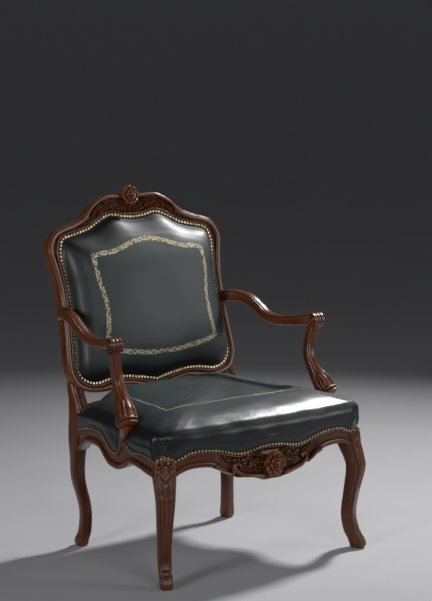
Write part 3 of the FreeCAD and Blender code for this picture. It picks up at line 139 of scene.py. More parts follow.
def spline(keys, spacing, measure=3):
    """Evenly spaced rows on a smooth line through the key rows, by the length in their first columns."""
    keys = np.array(keys, dtype=float)
    rows = np.vstack([2 * keys[0] - keys[1], keys, 2 * keys[-1] - keys[-2]])
    fine = []
    for i in range(len(keys) - 1):
        p0, p1, p2, p3 = rows[i:i + 4]
        t = np.linspace(0, 1, 24, endpoint=False)[:, None]
        fine.append(0.5 * (2 * p1 + (p2 - p0) * t + (2 * p0 - 5 * p1 + 4 * p2 - p3) * t ** 2
                           + (3 * p1 - p0 - 3 * p2 + p3) * t ** 3))
    fine = np.vstack(fine + [keys[-1:]])
    reach = travelled(fine[:, :measure])
    at = np.linspace(0, reach[-1], max(3, int(round(reach[-1] / spacing)) + 1))
    return np.stack([np.interp(at, reach, column) for column in fine.T], axis=1)


def whole_ring(half, count, offset, rounds, unit):
    """A half outline with its mirror image, moved outwards by an offset, in evenly spaced points."""
    ring = np.vstack([half, (half * (-1, 1))[-2:0:-1]])
    way = np.roll(ring, -1, axis=0) - np.roll(ring, 1, axis=0)
    way /= np.linalg.norm(way, axis=1)[:, None]
    for _ in range(rounds):
        way = (np.roll(way, 1, axis=0) + way + np.roll(way, -1, axis=0)) / 3
        if unit:
            way /= np.linalg.norm(way, axis=1)[:, None]
    ring = ring + offset * np.stack([way[:, 1], -way[:, 0]], axis=1)
    closed = np.vstack([ring, ring[:1]])
    reach = travelled(closed)
    at = np.linspace(0, reach[-1], count, endpoint=False)
    return np.stack([np.interp(at, reach, closed[:, 0]), np.interp(at, reach, closed[:, 1])], axis=1)


def nearest(u, v, line):
    """For each place the number of the nearest point of a line, and how far across and up it is from it."""
    du = u[..., None] - line[:, 0]
    dv = v[..., None] - line[:, 1]
    near = np.argmin(du ** 2 + dv ** 2, axis=-1)[..., None]
    return near[..., 0], np.take_along_axis(du, near, -1)[..., 0], np.take_along_axis(dv, near, -1)[..., 0]


def close_up(merge=0.0, fill=False):
    """Merges doubled points of the active piece, fills its open ends and turns its faces outwards."""
    bpy.ops.object.mode_set(mode="EDIT")
    bpy.ops.mesh.select_all(action="SELECT")
    if merge:
        bpy.ops.mesh.remove_doubles(threshold=merge)
    if fill:
        bpy.ops.mesh.fill_holes(sides=0)
    bpy.ops.mesh.normals_make_consistent(inside=False)
    bpy.ops.object.mode_set(mode="OBJECT")


def skin(name, rings):
    """A closed skin over rings of points in millimetres, started from Blender's grid."""
    rings = np.concatenate([rings, rings[:, :1]], axis=1)
    deselect()
    bpy.ops.mesh.primitive_grid_add(
        x_subdivisions=rings.shape[1] - 1, y_subdivisions=rings.shape[0] - 1, size=1, location=(0, 0, 0))
    piece = bpy.context.object
    piece.name = name
    piece.data.name = name
    piece.data.vertices.foreach_set("co", (rings.reshape(-1, 3) * MM).ravel())
    close_up(merge=0.00002, fill=True)
    return piece


def joined(name, pieces):
    """Joins pieces into one."""
    deselect()
    for piece in pieces:
        piece.select_set(True)
    bpy.context.view_layer.objects.active = pieces[0]
    if len(pieces) > 1:
        bpy.ops.object.join()
    whole = bpy.context.object
    whole.name = name
    whole.data.name = name
    return whole


def mirror_copy(piece, name):
    """The same piece on the other side of the chair, with its own mesh."""
    pick(piece)
    bpy.ops.object.duplicate()
    other = bpy.context.object
    other.name = name
    other.data.name = name
    bpy.ops.transform.mirror(constraint_axis=(True, False, False), center_override=(0, 0, 0))
    bpy.ops.object.transform_apply(location=True, rotation=True, scale=True)
    close_up()
    return other


def points_of(piece):
    """The points of a piece in millimetres."""
    flat = np.empty(len(piece.data.vertices) * 3)
    piece.data.vertices.foreach_get("co", flat)
    return flat.reshape(-1, 3) / MM


def move_points(piece, points):
    """Sets the points of a piece, given in millimetres."""
    piece.data.vertices.foreach_set("co", (points * MM).ravel())
    piece.data.update()


def mark(piece, name, values):
    """Stores one number for each point of a piece, which its material reads."""
    layer = piece.data.attributes.new(name, "FLOAT", "POINT")
    layer.data.foreach_set("value", np.asarray(values, dtype=np.float32))


HOLLOW_ROUNDS = 2
HOLLOW_GAIN = 8


def mark_hollows(piece):
    """Stores how hollow the surface is at each point, from -1 on a ridge to 1 in a groove."""
    mesh = piece.data
    points = points_of(piece)
    normals = np.empty(len(points) * 3)
    mesh.vertex_normals.foreach_get("vector", normals)
    normals = normals.reshape(-1, 3)
    edges = np.empty(len(mesh.edges) * 2, dtype=np.int64)
    mesh.edges.foreach_get("vertices", edges)
    a, b = edges.reshape(-1, 2).T
    along = points[b] - points[a]
    reach = np.maximum(np.linalg.norm(along, axis=1), 0.05)
    total = np.zeros(len(points))
    number = np.zeros(len(points))
    for here, way in ((a, along), (b, -along)):
        np.add.at(total, here, np.einsum("ij,ij->i", normals[here], way) / reach)
        np.add.at(number, here, 1)
    hollow = total / np.maximum(number, 1)
    for _ in range(HOLLOW_ROUNDS):
        total = hollow.copy()
        number = np.ones(len(points))
        for here, there in ((a, b), (b, a)):
            np.add.at(total, here, hollow[there])
            np.add.at(number, here, 1)
        hollow = total / number
    # The wood material paints shade into the grooves and highlights onto the ridges from this mark.
    mark(piece, "hollow", np.clip(hollow * HOLLOW_GAIN, -1, 1))


def finish(piece, material, slot, *nodes, angle=40):
    """Shades a finished piece, gives it its material and ties it to what it stands for."""
    pick(piece)
    bpy.ops.object.shade_smooth_by_angle(angle=math.radians(angle))
    piece.data.materials.clear()
    piece.data.materials.append(material)
    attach(piece, "root")
    if nodes:
        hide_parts(*nodes)


def wooden_pair(piece, node_name, grain):
    """Finishes a carved piece of the right side and its mirror image on the left, each for its CAD node."""
    mark_hollows(piece)
    other = mirror_copy(piece, piece.name.replace("right", "left"))
    for made, name in ((piece, node_name), (other, node_name.replace("right", "left"))):
        finish(made, waxed_wood(grain), "carved_wood", name)


# ---- places of the chair, in millimetres ----

LEAN = math.radians(13.8)
UP = np.array([0, math.sin(LEAN), math.cos(LEAN)])
OUT = np.array([0, -math.cos(LEAN), math.sin(LEAN)])
BACK_ORIGIN = np.array([0, 187.6, 460.0])
FRONT_Y, REAR_Y, RAIL_TOP = -301.4, 187.6, 368.0
POST_X, POST_REAR = 265.0, 214.6
CORNER_OUT, REAR_CORNER = (350.0, -275.4), (287.0, 156.6)
FRONT_RADIUS = (301.0 ** 2 + 20 ** 2) / 40
SIDE_RADIUS = (216.0 ** 2 + 8 ** 2) / 16


def on_back(u, v, w):
    """Points of the chair from across, up and out of the leaning back."""
    u, v, w = np.broadcast_arrays(u, v, w)
    points = BACK_ORIGIN + v[..., None] * UP + w[..., None] * OUT
    points[..., 0] += u
    return points


def from_back(points):
    """Across and up, and out, of the leaning back for points of the chair: on_back the other way round."""
    local = points - BACK_ORIGIN
    return np.stack([local[:, 0], local @ UP], axis=1), local @ OUT


def front_face(x):
    """Depth of the front rail's face."""
    return FRONT_Y - 20 + FRONT_RADIUS - np.sqrt(FRONT_RADIUS ** 2 - x ** 2)


def side_face(y):
    """Half width of the side rail's face."""
    share = (y - CORNER_OUT[1]) / (REAR_CORNER[1] - CORNER_OUT[1])
    straight = CORNER_OUT[0] + (REAR_CORNER[0] - CORNER_OUT[0]) * share
    along = y - (CORNER_OUT[1] + REAR_CORNER[1]) / 2
    return straight + np.sqrt(SIDE_RADIUS ** 2 - along ** 2) - SIDE_RADIUS + 8


# Right half of the back frame, from its top to its bottom: nail line and outer edge, across and up.
BACK_KEYS = [
    (0, 446, 0, 511), (34, 449, 40, 511), (62, 455, 68, 512), (80, 456, 90, 510), (102, 450, 116, 499),
    (128, 437, 142, 482), (156, 422, 168, 460), (196, 412, 206, 443), (233, 404, 243, 432.5),
    (250, 396, 272, 420.5), (257, 383, 291, 399), (262, 360, 300, 368), (260, 330, 293, 329),
    (256, 292, 285.5, 282), (253, 261, 282, 252), (253, 225, 282, 222), (253, 190, 282, 188),
    (256, 136, 285, 132), (260, 86, 290, 80), (263, 50, 291, 43), (259, 24, 287, 17), (246, 6, 267, -15),
    (220, -6, 228, -30), (190, -7, 188, -34), (150, 0, 152, -32), (110, 1.5, 108, -23.5), (58, -6, 66, -30),
    (30, -13, 32, -37), (0, -17, 0, -41),
]
FRONT_NAILS = [(0, 339), (28, 338), (56, 333), (98, 328), (132, 333.5), (172, 344.5), (204, 349), (232, 350),
               (260, 347), (284, 337.5), (301, 332)]
FRONT_LOW = [(0, 250), (30, 250), (52, 257.5), (76, 265), (110, 266), (148, 283.5), (188, 301), (222, 306),
             (258, 305), (284, 298), (300, 290)]
SIDE_NAILS = [(-275.4, 332), (-245, 339), (-200, 340), (-152, 344), (-132, 357), (-121, 364), (-115.4, 367),
              (-111, 360), (-105, 340), (-95, 324), (-73, 318), (-55, 320), (-37, 330), (-15, 346), (9, 357),
              (82, 354), (156.6, 335)]
SIDE_LOW = [
    (-273, 290), (-240, 295), (-205, 302), (-158, 305), (-131, 293), (-103, 280), (-75, 276), (-39, 280),
    (-13, 294), (11, 310), (41, 316), (105, 310), (158, 276),
]


CARVED_STEP = 1.5


def leaf(u, v, spine, width, lobes, veins):
    """Height, from 0 to 1, of a carved leaf on its spine, with a number of lobes and a distance of veins."""
    line = spline(spine, spacing=CARVED_STEP, measure=2)
    way = directions(line)
    near, du, dv = nearest(u, v, line)
    s = near / (len(line) - 1)
    side = du * way[near, 1] - dv * way[near, 0]
    ahead = du * way[near, 0] + dv * way[near, 1]
    lobed = 0.85 + 0.2 * np.cos(2 * math.pi * lobes * s)
    half = width * np.sin(math.pi * np.clip(s, 0.02, 0.98) ** 0.7) ** 0.6 * lobed
    body = np.sqrt(np.clip(1 - (side / half) ** 2 - (ahead / 3) ** 2, 0, 1))
    rib = 1 - 0.45 * np.exp(-(side / 0.9) ** 2)
    cuts = 0.82 + 0.18 * np.cos(2 * math.pi * (s * len(line) * 1.5 - 0.9 * np.abs(side)) / veins)
    return body * rib * cuts


def scroll(u, v, path, half, taper):
    """Height, from 0 to 1, of a half round that follows a path, thinner towards its end."""
    line = spline(path, spacing=CARVED_STEP, measure=2)
    near, du, dv = nearest(u, v, line)
    s = near / (len(line) - 1)
    return roll(np.hypot(du, dv), 0, half * (1 - taper * s))


def curl(centre, radius, start, turns):
    """Points of a spiral that winds in to a quarter of its radius from its start angle, given in degrees."""
    points = []
    for t in np.linspace(0, 1, 15):
        angle = math.radians(start + 360 * turns * t)
        reach = radius * (1 - 0.75 * t)
        points.append((centre[0] + reach * math.cos(angle), centre[1] + reach * math.sin(angle)))
    return points


# ---- back frame ----

def frame_relief(u, v, d, wide, sizes):
    """Height of the carved front of the back frame, d from the leather across its width."""
    across = np.abs(u)
    arched = (1 - ease(across, 140, 160)) * (v > 400)
    half = np.minimum(sizes.roll_width + 2.5, wide * 0.34) * (1 - arched) + 5.2 * arched
    bead = sizes.inner_bead * roll(d, 3.4, 2.8)
    outer = sizes.outer_roll * roll(wide - d, half, half) ** 0.8
    start = wide - 2 * half
    groove = roll(d, (6.4 + start) / 2, np.maximum(start - 6.2, 1.5) / 2)
    ground = sizes.ground * arched * ease(d, 6.2, 8.5) * (1 - ease(d, start - 1.5, start + 0.5))
    face = -0.8 - 4.4 * groove * (1 - arched) - ground
    face = face - 1.4 * (1 - arched) * np.exp(-((wide - d - 3.4) / 1.0) ** 2)
    clasp = 1.2 * np.exp(-((across - 166) / 9) ** 2) * (v > 400) * np.abs(np.sin(across * 0.9 + d * 0.5))
    height = face + bead + outer + clasp * ease(d, 6, 9)
    if np.any(v > 400):
        carved = face + leafy_crest(across, v) * (sizes.leaf_height + ground)
        height = np.maximum(height, np.where(v > 400, carved, -50))
    return height


def leafy_crest(u, v):
    """The leaves, stems and clasps of the crest, from 0 to 1."""
    parts = [
        leaf(u, v, [(26, 484), (44, 493), (70, 498), (92, 494), (112, 481)], 8.5, 3, 7.5),
        leaf(u, v, [(30, 466), (50, 474), (76, 478), (98, 470), (120, 455)], 8.0, 3, 7.0),
        leaf(u, v, [(96, 484), (116, 476), (132, 462), (140, 448)], 7.0, 3, 7.0),
        leaf(u, v, [(182, 458), (168, 455), (152, 446), (140, 436)], 8.5, 2, 5.5) * 1.1,
        leaf(u, v, [(176, 445), (164, 440), (150, 430)], 6.5, 2, 5.5),
        leaf(u, v, [(3, 463), (12, 474), (27, 482)], 6.5, 3, 4.5),
        leaf(u, v, [(0, 496), (1, 480), (0, 462)], 7.5, 3, 4.0),
        leaf(u, v, [(20, 462), (30, 467), (44, 466)], 5.0, 2, 4.0),
        0.8 * scroll(u, v, curl((112, 464), 9, 60, 0.9), 2.6, 0.3),
        0.8 * scroll(u, v, curl((52, 484), 7, 200, 1.0), 2.4, 0.3),
        leaf(u, v, [(64, 466), (80, 483), (90, 497)], 7.0, 3, 4.0),
        leaf(u, v, [(30, 500), (42, 503), (60, 503)], 4.5, 2, 4.0),
        leaf(u, v, [(46, 461), (66, 465), (84, 462), (100, 453)], 5.0, 3, 4.0),
        # Low waves fill the ground between the leaves.
        0.2 + 0.2 * np.cos(u * 0.4 + 2 * np.cos(v * 0.3)) * np.cos(v * 0.4),
        roll(np.hypot(u - 86, v - 484), 0, 6.5) * (0.7 + 0.3 * np.cos(5 * np.arctan2(v - 484, u - 86))),
    ]
    return np.max(parts, axis=0)


def frame_stretch(name, rows, face_points, sizes):
    """One piece of the back frame over rows of nail line and outer edge."""
    inner = rows[:, :2]
    way = rows[:, 2:4] - inner
    wide = np.linalg.norm(way, axis=1)
    way = way / wide[:, None]
    inner = inner + way * 5
    wide = wide - 5
    d = np.linspace(0, 1, face_points)[None, :] * wide[:, None]
    u = inner[:, :1] + way[:, :1] * d
    v = inner[:, 1:] + way[:, 1:] * d
    w = frame_relief(u, v, d, wide[:, None], sizes)
    under = [(-21, -31.5), (-21, -4), (-5, -2.6), (-0.3, -2.5)]
    round_back = [
        (0.1, -2.5), (0.25, -9), (0.2, -18), (-0.6, -26), (-2.6, -31), (-6, -33), (-12, -33), (-18, -33)
    ]

    def line(start, reach, height):
        place = inner + way * (start + reach)[:, None]
        return on_back(place[:, 0], place[:, 1], height)[:, None]

    parts = [line(0 * wide, reach, height) for reach, height in under] + [on_back(u, v, w)]
    parts += [line(wide, reach, height) for reach, height in round_back]
    return skin(name, np.concatenate(parts, axis=1))


def post_rings():
    """Sections of the rear leg and of the reeded post over it, right side."""
    keys = []
    for z, shift, wide, deep in (
        (0, 1, 26, 26), (5, 2, 33, 34), (17, 1, 36, 36), (42, -7.4, 33, 33), (88, -11, 31, 31),
        (126, -6.2, 32, 32), (190, 10, 35, 36), (250, 11, 38, 40),
    ):
        keys.append((257 + 0.6 * shift, REAR_Y + 0.8 * shift, z, wide, deep, math.radians(11)))
    keys += [
        (POST_X, POST_REAR - 24, 300, 44, 48, 0), (POST_X, POST_REAR - 31, RAIL_TOP - 6, 44, 62, 0),
        (POST_X, POST_REAR - 31, 380, 44, 61, 0), (POST_X, POST_REAR - 27, 396, 43, 53, 0),
        (POST_X, POST_REAR - 22, 414, 41, 44, 0), (POST_X, 201.5, 436, 40, 36, 0),
        (POST_X, 207, 458, 39, 28, 0),
    ]
    rows = spline(keys, spacing=2.2)
    turn = np.linspace(0, 2 * math.pi, 120, endpoint=False)
    c, s = np.cos(turn), np.sin(turn)
    a = np.sign(c) * np.abs(c) ** 0.55
    b = np.sign(s) * np.abs(s) ** 0.55
    rings = []
    for x, y, z, wide, deep, angle in rows:
        reeds = ease(z, 374, 380) * (1 - ease(z, 448, 458))
        low_leg = (1 - ease(z, 330, 366)) * ease(z, 30, 70)
        corner = np.exp(-(np.abs((np.degrees(turn) % 90) - 45) / 8) ** 2)
        px, py = a * wide / 2, b * deep / 2
        px = px * (1 + 0.035 * low_leg * corner)
        py = py * (1 + 0.035 * low_leg * corner)
        # Five reeds on the front, crisp ridges between round hollows.
        py = py + reeds * ease(-b, 0.55, 0.85) * 3.4 * (1 - np.abs(np.sin(math.pi * (px + 20) / 8.0))) ** 1.4
        rings.append(np.stack([
            x + px * math.cos(angle) - py * math.sin(angle), y + px * math.sin(angle) + py * math.cos(angle),
            np.full_like(px, z)], axis=1))
    return np.array(rings)


# ---- front legs ----

LEG_TURN = math.radians(28)
LEG_X = 331.0
LEG_FACE = np.array([math.sin(LEG_TURN), -math.cos(LEG_TURN)])
LEG_ACROSS = np.array([math.cos(LEG_TURN), math.sin(LEG_TURN)])
# Sections of a leg from its toe up: how far forward, height, width and depth.
LEG_KEYS = [
    (0, 0, 27, 30), (0, 5, 33, 42), (0, 14, 35, 47), (-6, 28, 35, 47), (-19, 50, 35, 42), (-28, 95, 37, 39),
    (-21, 152, 42, 41), (-8, 222, 50, 50), (-13, 254, 55, 51), (-30, 300, 63, 60), (-38, 345, 62, 58),
    (-38, 368, 60, 54),
]
# Husks down the front of a leg: lower end, length and half width.
HUSKS = [(262, 24, 6.2), (240, 21, 5.4), (219, 18, 4.6), (200, 16, 3.8), (184, 13, 3.0), (170, 10, 2.4)]


def leg_rings():
    """Sections of the right front leg with its beaded edges, husks and leafy toe."""
    rows = spline(LEG_KEYS, spacing=1.8, measure=2)
    turn = np.linspace(0, 2 * math.pi, 132, endpoint=False)
    c, s = np.cos(turn)[None, :], np.sin(turn)[None, :]
    shift, z, wide, deep = (column[:, None] for column in rows.T)
    a = np.sign(c) * np.abs(c) ** 0.62 * wide / 2
    b = np.sign(s) * np.abs(s) ** 0.62 * deep / 2
    degrees = np.degrees(turn)[None, :]
    lift = np.zeros(np.broadcast(a, b).shape)
    body = ease(z, 34, 60) * (1 - ease(z, 322, 336))
    for corner in (45, 135):
        lift = lift + body * 1.7 * np.exp(-((degrees - corner) / 7) ** 2)
        for beside in (-14, 14):
            lift = lift - body * np.exp(-((degrees - corner + beside) / 5) ** 2)
    lift = lift - body * 1.6 * np.exp(-((degrees - 90) / 20) ** 4)
    for corner in (225, 315):
        lift = lift + body * 0.8 * np.exp(-((degrees - corner) / 7) ** 2)
    front = (degrees > 20) & (degrees < 160)
    flat = np.broadcast_to(a, lift.shape)
    tall = np.broadcast_to(z, lift.shape)
    husks = [leaf(flat, tall, [(0, low), (0, low + long * 0.5), (0, low + long)], half, 2, 3.2)
             for low, long, half in HUSKS]
    for side in (-flat, flat):
        husks.append(0.9 * leaf(side, tall, [(0, 286), (9, 300), (19, 308), (24, 322)], 6.5, 3, 3.4))
    husks.append(scroll(np.abs(flat), tall, curl((13, 326), 8.5, -70, 1.1), 2.8, 0.3))
    husks.append(1.1 * leaf(flat, tall, [(0, 284), (0, 300), (0, 318)], 8.0, 3, 3.4))
    lift = lift + 4.2 * np.max(husks, axis=0) * front
    lift = lift - 3.4 * ease(z, 337, 342)
    toe = (1 - ease(z, 30, 46)) * ease(z, 1, 6)
    lift = lift + toe * (1.3 * np.cos(np.radians(degrees - 90) * 7) * front - 0.6)
    lift = lift + 2.2 * np.exp(-((z - 44) / 4.0) ** 2) * np.exp(-((degrees - 90) / 46) ** 4)
    norm = np.hypot(a, b)
    a = a * (1 + lift / norm)
    b = b * (1 + lift / norm)
    x = LEG_X + LEG_FACE[0] * (shift + b) + LEG_ACROSS[0] * a
    y = FRONT_Y + LEG_FACE[1] * (shift + b) + LEG_ACROSS[1] * a
    return np.stack([x, y, np.broadcast_to(z, x.shape)], axis=2)


# ---- seat rails ----

RAIL_LEAVES = 11.5


def rail_profile(t, wide):
    """Height of a seat rail's moulding, t from the nails down to the lower edge."""
    d = t * wide
    half = np.minimum(8.0, wide * 0.24)
    start = wide - 2 * half
    height = -0.6 - 1.8 * roll(d, (start + 4) / 2, (start - 4) / 2)
    height = height - 2.2 * np.exp(-((d - start + 0.5) / 1.3) ** 2)
    height = height + 1.8 * roll(d, 2.2, 2.0)
    return height + 5.4 * roll(wide - d, half, half)


def front_carving(x, z):
    """The leaves and scrolls in the middle of the front rail, from 0 to 1."""
    u = np.abs(x)
    parts = [
        leaf(u, z, [(30, 312), (48, 320), (68, 320), (84, 312)], 7.5, 3, 6.5),
        leaf(u, z, [(34, 298), (52, 304), (70, 300), (84, 290)], 7.5, 3, 6.5),
        leaf(u, z, [(150, 326), (136, 316), (120, 312), (104, 316)], 7.5, 3, 6.5),
        leaf(u, z, [(126, 300), (112, 304), (98, 298)], 6.0, 2, 6.0),
        1.25 * scroll(
            u,
            z,
            [(40, 262), (62, 266), (82, 270), (104, 275), (120, 287), (120, 300), (110, 303), (106, 296)],
            8.5,
            0.35,
        ),
        1.15 * scroll(
            u, z, [(176, 303), (160, 294), (146, 284), (132, 278), (124, 284), (126, 292)], 7.0, 0.3
        ),
        leaf(u, z, [(28, 330), (40, 334), (56, 330), (70, 327)], 6.0, 3, 5.0),
        leaf(u, z, [(30, 280), (46, 286), (64, 284), (80, 280)], 6.0, 3, 5.0),
        leaf(u, z, [(14, 262), (20, 272), (34, 276)], 7.0, 2, 5.0),
        1.1 * roll(np.hypot(u - 88, z - 306), 0, 9.0) * (
            0.72 + 0.28 * np.cos(5 * np.arctan2(z - 306, u - 88))
        ),
    ]
    return np.max(parts, axis=0)


def bow_out(x, d):
    """How far the carved middle of the front rail swells forward, d below its nails."""
    return 13 * (1 - ease(np.abs(x), 70, 150)) * ease(d, 4, 40)


def rail_skin(name, top, low, span, step, place, carve=None):
    """A moulded seat rail between its nail line and its lower edge, along a curved face."""
    s = np.arange(span[0], span[1] + 0.1, step)
    top = spline(top, spacing=1.0, measure=2)
    low = spline(low, spacing=1.0, measure=2)
    mirror_x = top[0, 0] == 0
    find = np.abs(s) if mirror_x else s
    high = np.interp(find, top[:, 0], top[:, 1]) - 5
    deep = np.interp(find, low[:, 0], low[:, 1])
    wide = (high - deep)[:, None]
    t = np.linspace(0, 1, 52)[None, :]
    z = high[:, None] - t * wide
    height = rail_profile(t, wide)
    along = np.broadcast_to(s[:, None], z.shape)
    if carve is not None:
        middle = 1 - ease(np.abs(along), 158, 178)
        d = t * wide
        ground = -0.8 - 4.6 * middle * ease(d, 4.5, 7)
        plain = height * (1 - middle) + np.where(d < 4.5, height, ground) * middle
        height = np.maximum(plain, ground + RAIL_LEAVES * carve(along, z)) + bow_out(along, d)
    parts = [place(s, -38, RAIL_TOP - 0.5), place(s, -2.6, RAIL_TOP - 0.5), place(s, -2.5, high + 0.4)]
    rows = [part[:, None] for part in parts]
    rows.append(place(along, height, z))
    rows.append(place(s, -3.0, deep - 0.2)[:, None])
    rows.append(place(s, -36.0, deep + 0.6)[:, None])
    rows.append(place(s, -38.0, deep + 2.5)[:, None])
    return skin(name, np.concatenate(rows, axis=1))


def on_front(x, out, z):
    """Points on the front rail, out of its face."""
    x, out, z = np.broadcast_arrays(x, out, z)
    return np.stack([x, front_face(x) - out, z], axis=-1).astype(float)


def on_side(y, out, z):
    """Points on the right side rail, out of its face."""
    y, out, z = np.broadcast_arrays(y, out, z)
    return np.stack([side_face(y) + out * 0.989, y - out * 0.146, z], axis=-1).astype(float)


# ---- arms ----

def sweep(rows, around, face, square, relief=None):
    """Rings of a bar along rows of place, width and thickness, with relief by angle and share of length."""
    way = directions(rows[:, :3])
    turn = np.linspace(0, 2 * math.pi, around, endpoint=False)
    c, s = np.cos(turn), np.sin(turn)
    degrees = np.degrees(turn)
    rings = []
    for i, ((x, y, z, wide, tall), along) in enumerate(zip(rows[:, :5], way)):
        over = np.array(face, dtype=float) - along * np.dot(face, along)
        over /= np.linalg.norm(over)
        across = np.cross(along, over)
        a = np.sign(c) * np.abs(c) ** square * wide / 2
        b = np.sign(s) * np.abs(s) ** square * tall / 2
        lift = relief(degrees, i / (len(rows) - 1)) if relief else 0.0
        norm = np.hypot(a, b)
        a, b = a * (1 + lift / norm), b * (1 + lift / norm)
        rings.append(np.array([x, y, z]) + a[:, None] * across + b[:, None] * over)
    return np.array(rings)


ARM_KEYS = [
    (274, 250, 644, 32, 34), (280, 232, 648, 33, 34), (288, 212, 652, 33, 33), (300, 181, 651, 32, 31),
    (308, 144, 644, 31, 30), (312, 110, 626, 30, 29), (313, 72, 606, 30, 27), (316, 28, 599, 30, 26),
    (324, -22, 603, 31, 28), (336, -63, 609, 33, 32), (345, -88, 613, 33, 35),
]


def arm_relief(degrees, share):
    """A ridge along each upper edge of an arm, with a hollow on each side of it."""
    lift = 0
    for edge in (48, 132):
        lift = lift + 1.3 * np.exp(-((degrees - edge) / 7) ** 2)
        for beside in (-16, 16):
            lift = lift - 1.2 * np.exp(-((degrees - edge + beside) / 6) ** 2)
    return lift * ease(share, 0.0, 0.08)


SCROLL = np.array([347.0, -98.0, 611.0])
SCROLL_HALF, SCROLL_RADIUS = 16.5, 21.0


def arm_scroll():
    """The scroll at the end of the right arm: a ridged knuckle with a volute on each side."""
    turn = np.linspace(0, 2 * math.pi, 96, endpoint=False)
    half, radius = SCROLL_HALF, SCROLL_RADIUS

    def ring(x, reach):
        across = np.broadcast_to(SCROLL[0] + x, turn.shape)
        return np.stack([across, SCROLL[1] - reach * np.cos(turn), SCROLL[2] + reach * np.sin(turn)], axis=1)

    sides = []
    for share in np.linspace(0.985, 0.0, 26):
        reach = radius * share
        between = ease(reach, 4, 7) * (1 - ease(reach, radius - 3, radius))
        spiral = 2.2 * np.cos(2 * math.pi * reach / 8.5 - turn) * between
        sides.append((reach, spiral + 3.4 * roll(reach, 0, 5.0) - 0.6))
    rings = [ring(-half - height, reach) for reach, height in reversed(sides)]
    for x in np.linspace(-half, half, 36):
        groove = 1.6 * (1 - abs(math.sin(math.pi * (x + half) / (2 * half) * 3))) ** 2 * (abs(x) < half - 2)
        rings.append(ring(x, radius - groove))
    rings += [ring(half + height, reach) for reach, height in sides]
    return np.array(rings)


SUPPORT_KEYS = [
    (346, -96, 606, 31, 33), (343, -93, 590, 30, 31), (338, -90, 568, 29, 29), (333, -88, 540, 28, 29),
    (329, -92, 512, 29, 30), (330, -104, 486, 32, 34), (334, -119, 462, 37, 39), (339, -134, 441, 44, 45),
    (343, -147, 424, 51, 49), (345, -155, 413, 52, 47), (346, -159, 407, 46, 40), (346.5, -161, 404, 34, 28),
]
TAIL_KEYS = [
    (341, -146, 424, 30, 30), (342, -147, 406, 34, 34), (339, -141, 394, 32, 32), (334, -131, 382, 28, 28),
    (330.5, -121, 370, 25, 25), (329, -116, 358, 24, 23), (329, -115, 346, 23, 20),
]


def support_relief(degrees, share):
    """Reeds down the front of an arm support, fanning into a leaf that ends in a double ring."""
    front = np.exp(-(((degrees - 90 + 180) % 360 - 180) / 84.0) ** 4)
    reeds = np.abs(np.cos(np.radians(degrees - 90) * 2.6)) - 0.6
    slim = ease(share, 0.04, 0.14) * (1 - ease(share, 0.62, 0.74))
    lift = 3.4 * reeds * slim * front
    leaf_like = np.abs(np.cos(np.radians(degrees - 90) * 4.5)) - 0.5
    fan = ease(share, 0.64, 0.76) * (1 - ease(share, 0.90, 0.92))
    lift = lift + 4.6 * leaf_like * fan * (0.35 + 0.65 * front)
    lift = lift + 3.2 * np.exp(-((share - 0.80) / 0.035) ** 2) * front * leaf_like
    for ring, high in ((0.925, 3.4), (0.965, 2.6)):
        lift = lift + high * np.exp(-((share - ring) / 0.011) ** 2)
    return lift - 2.0 * np.exp(-((share - 0.945) / 0.006) ** 2) - 1.5 * np.exp(-((share - 0.90) / 0.008) ** 2)


# ---- carved flowers ----

def blossom(name, centre, out, up, radius, petals, flat):
    """A carved flower: a bud and three rings of petals, each with a cleft."""
    out = Vector(out).normalized()
    side = Vector(up).cross(out).normalized()
    up = out.cross(side).normalized()
    deselect()
    bpy.ops.mesh.primitive_uv_sphere_add(segments=18, ring_count=12, radius=1, location=(0, 0, 0))
    petal = bpy.context.object
    shape = points_of(petal) * MM
    shape[:, 2] += 0.5 * shape[:, 0] ** 2 - 0.45 * np.exp(-(shape[:, 1] / 0.16) ** 2) * (shape[:, 2] > 0)
    shape[:, 0] -= 0.16 * np.exp(-(shape[:, 1] / 0.2) ** 2) * (shape[:, 0] > 0.5)
    pieces = []
    # Reach, first angle, length, width, thickness and number.
    rows = [(0, 0, 0.22, 0.22, 0.40, 1), (0.30, 30, 0.27, 0.31, 0.26, petals - 1),
            (0.62, 0, 0.40, 0.42, 0.25, petals), (0.78, 30, 0.26, 0.24, 0.16, petals)]
    for reach, start, long, wide, thick, number in rows:
        for k in range(number):
            angle = math.radians(start + 360 * k / number)
            local = shape * np.array([long, wide, thick]) * radius
            tilt = 0.55 if reach else 0.0
            x = local[:, 0] * math.cos(tilt) - local[:, 2] * math.sin(tilt) * 0.5 + reach * radius
            z = (local[:, 2] + local[:, 0] * math.sin(tilt) + (0.34 - 0.42 * reach) * radius) * flat
            px = x * math.cos(angle) - local[:, 1] * math.sin(angle)
            py = x * math.sin(angle) + local[:, 1] * math.cos(angle)
            points = np.array(centre) + np.stack([px, py, z], axis=1) @ np.array([side, up, out])
            pick(petal)
            bpy.ops.object.duplicate()
            move_points(bpy.context.object, points)
            pieces.append(bpy.context.object)
    bpy.data.objects.remove(petal)
    whole = joined(name, pieces)
    pick(whole)
    close_up()
    return whole


# ---- leather and what lies under it ----

BACK_MIDDLE = 220.0
BACK_BAND = [
    (0, 378), (34, 374), (62, 366), (95, 354), (125, 347), (160, 345), (184, 341), (187, 334), (186, 300),
    (184, 270), (177, 232), (173, 203), (175, 160), (181, 118), (186, 90), (182, 80), (150, 72), (110, 65),
    (55, 58), (0, 56),
]
SEAT_BAND = [(0, -188), (120, -188), (225, -183), (239, -178), (236, -165), (222, -60), (206, 60), (196, 150)]
SEAT_MIDDLE = -56.4
SEAT_BAND_LOW = 425.0
FOOT_X, FOOT_Y = 334.0, -138.0
CORNER_X, CORNER_Y = 326.3, -292.6


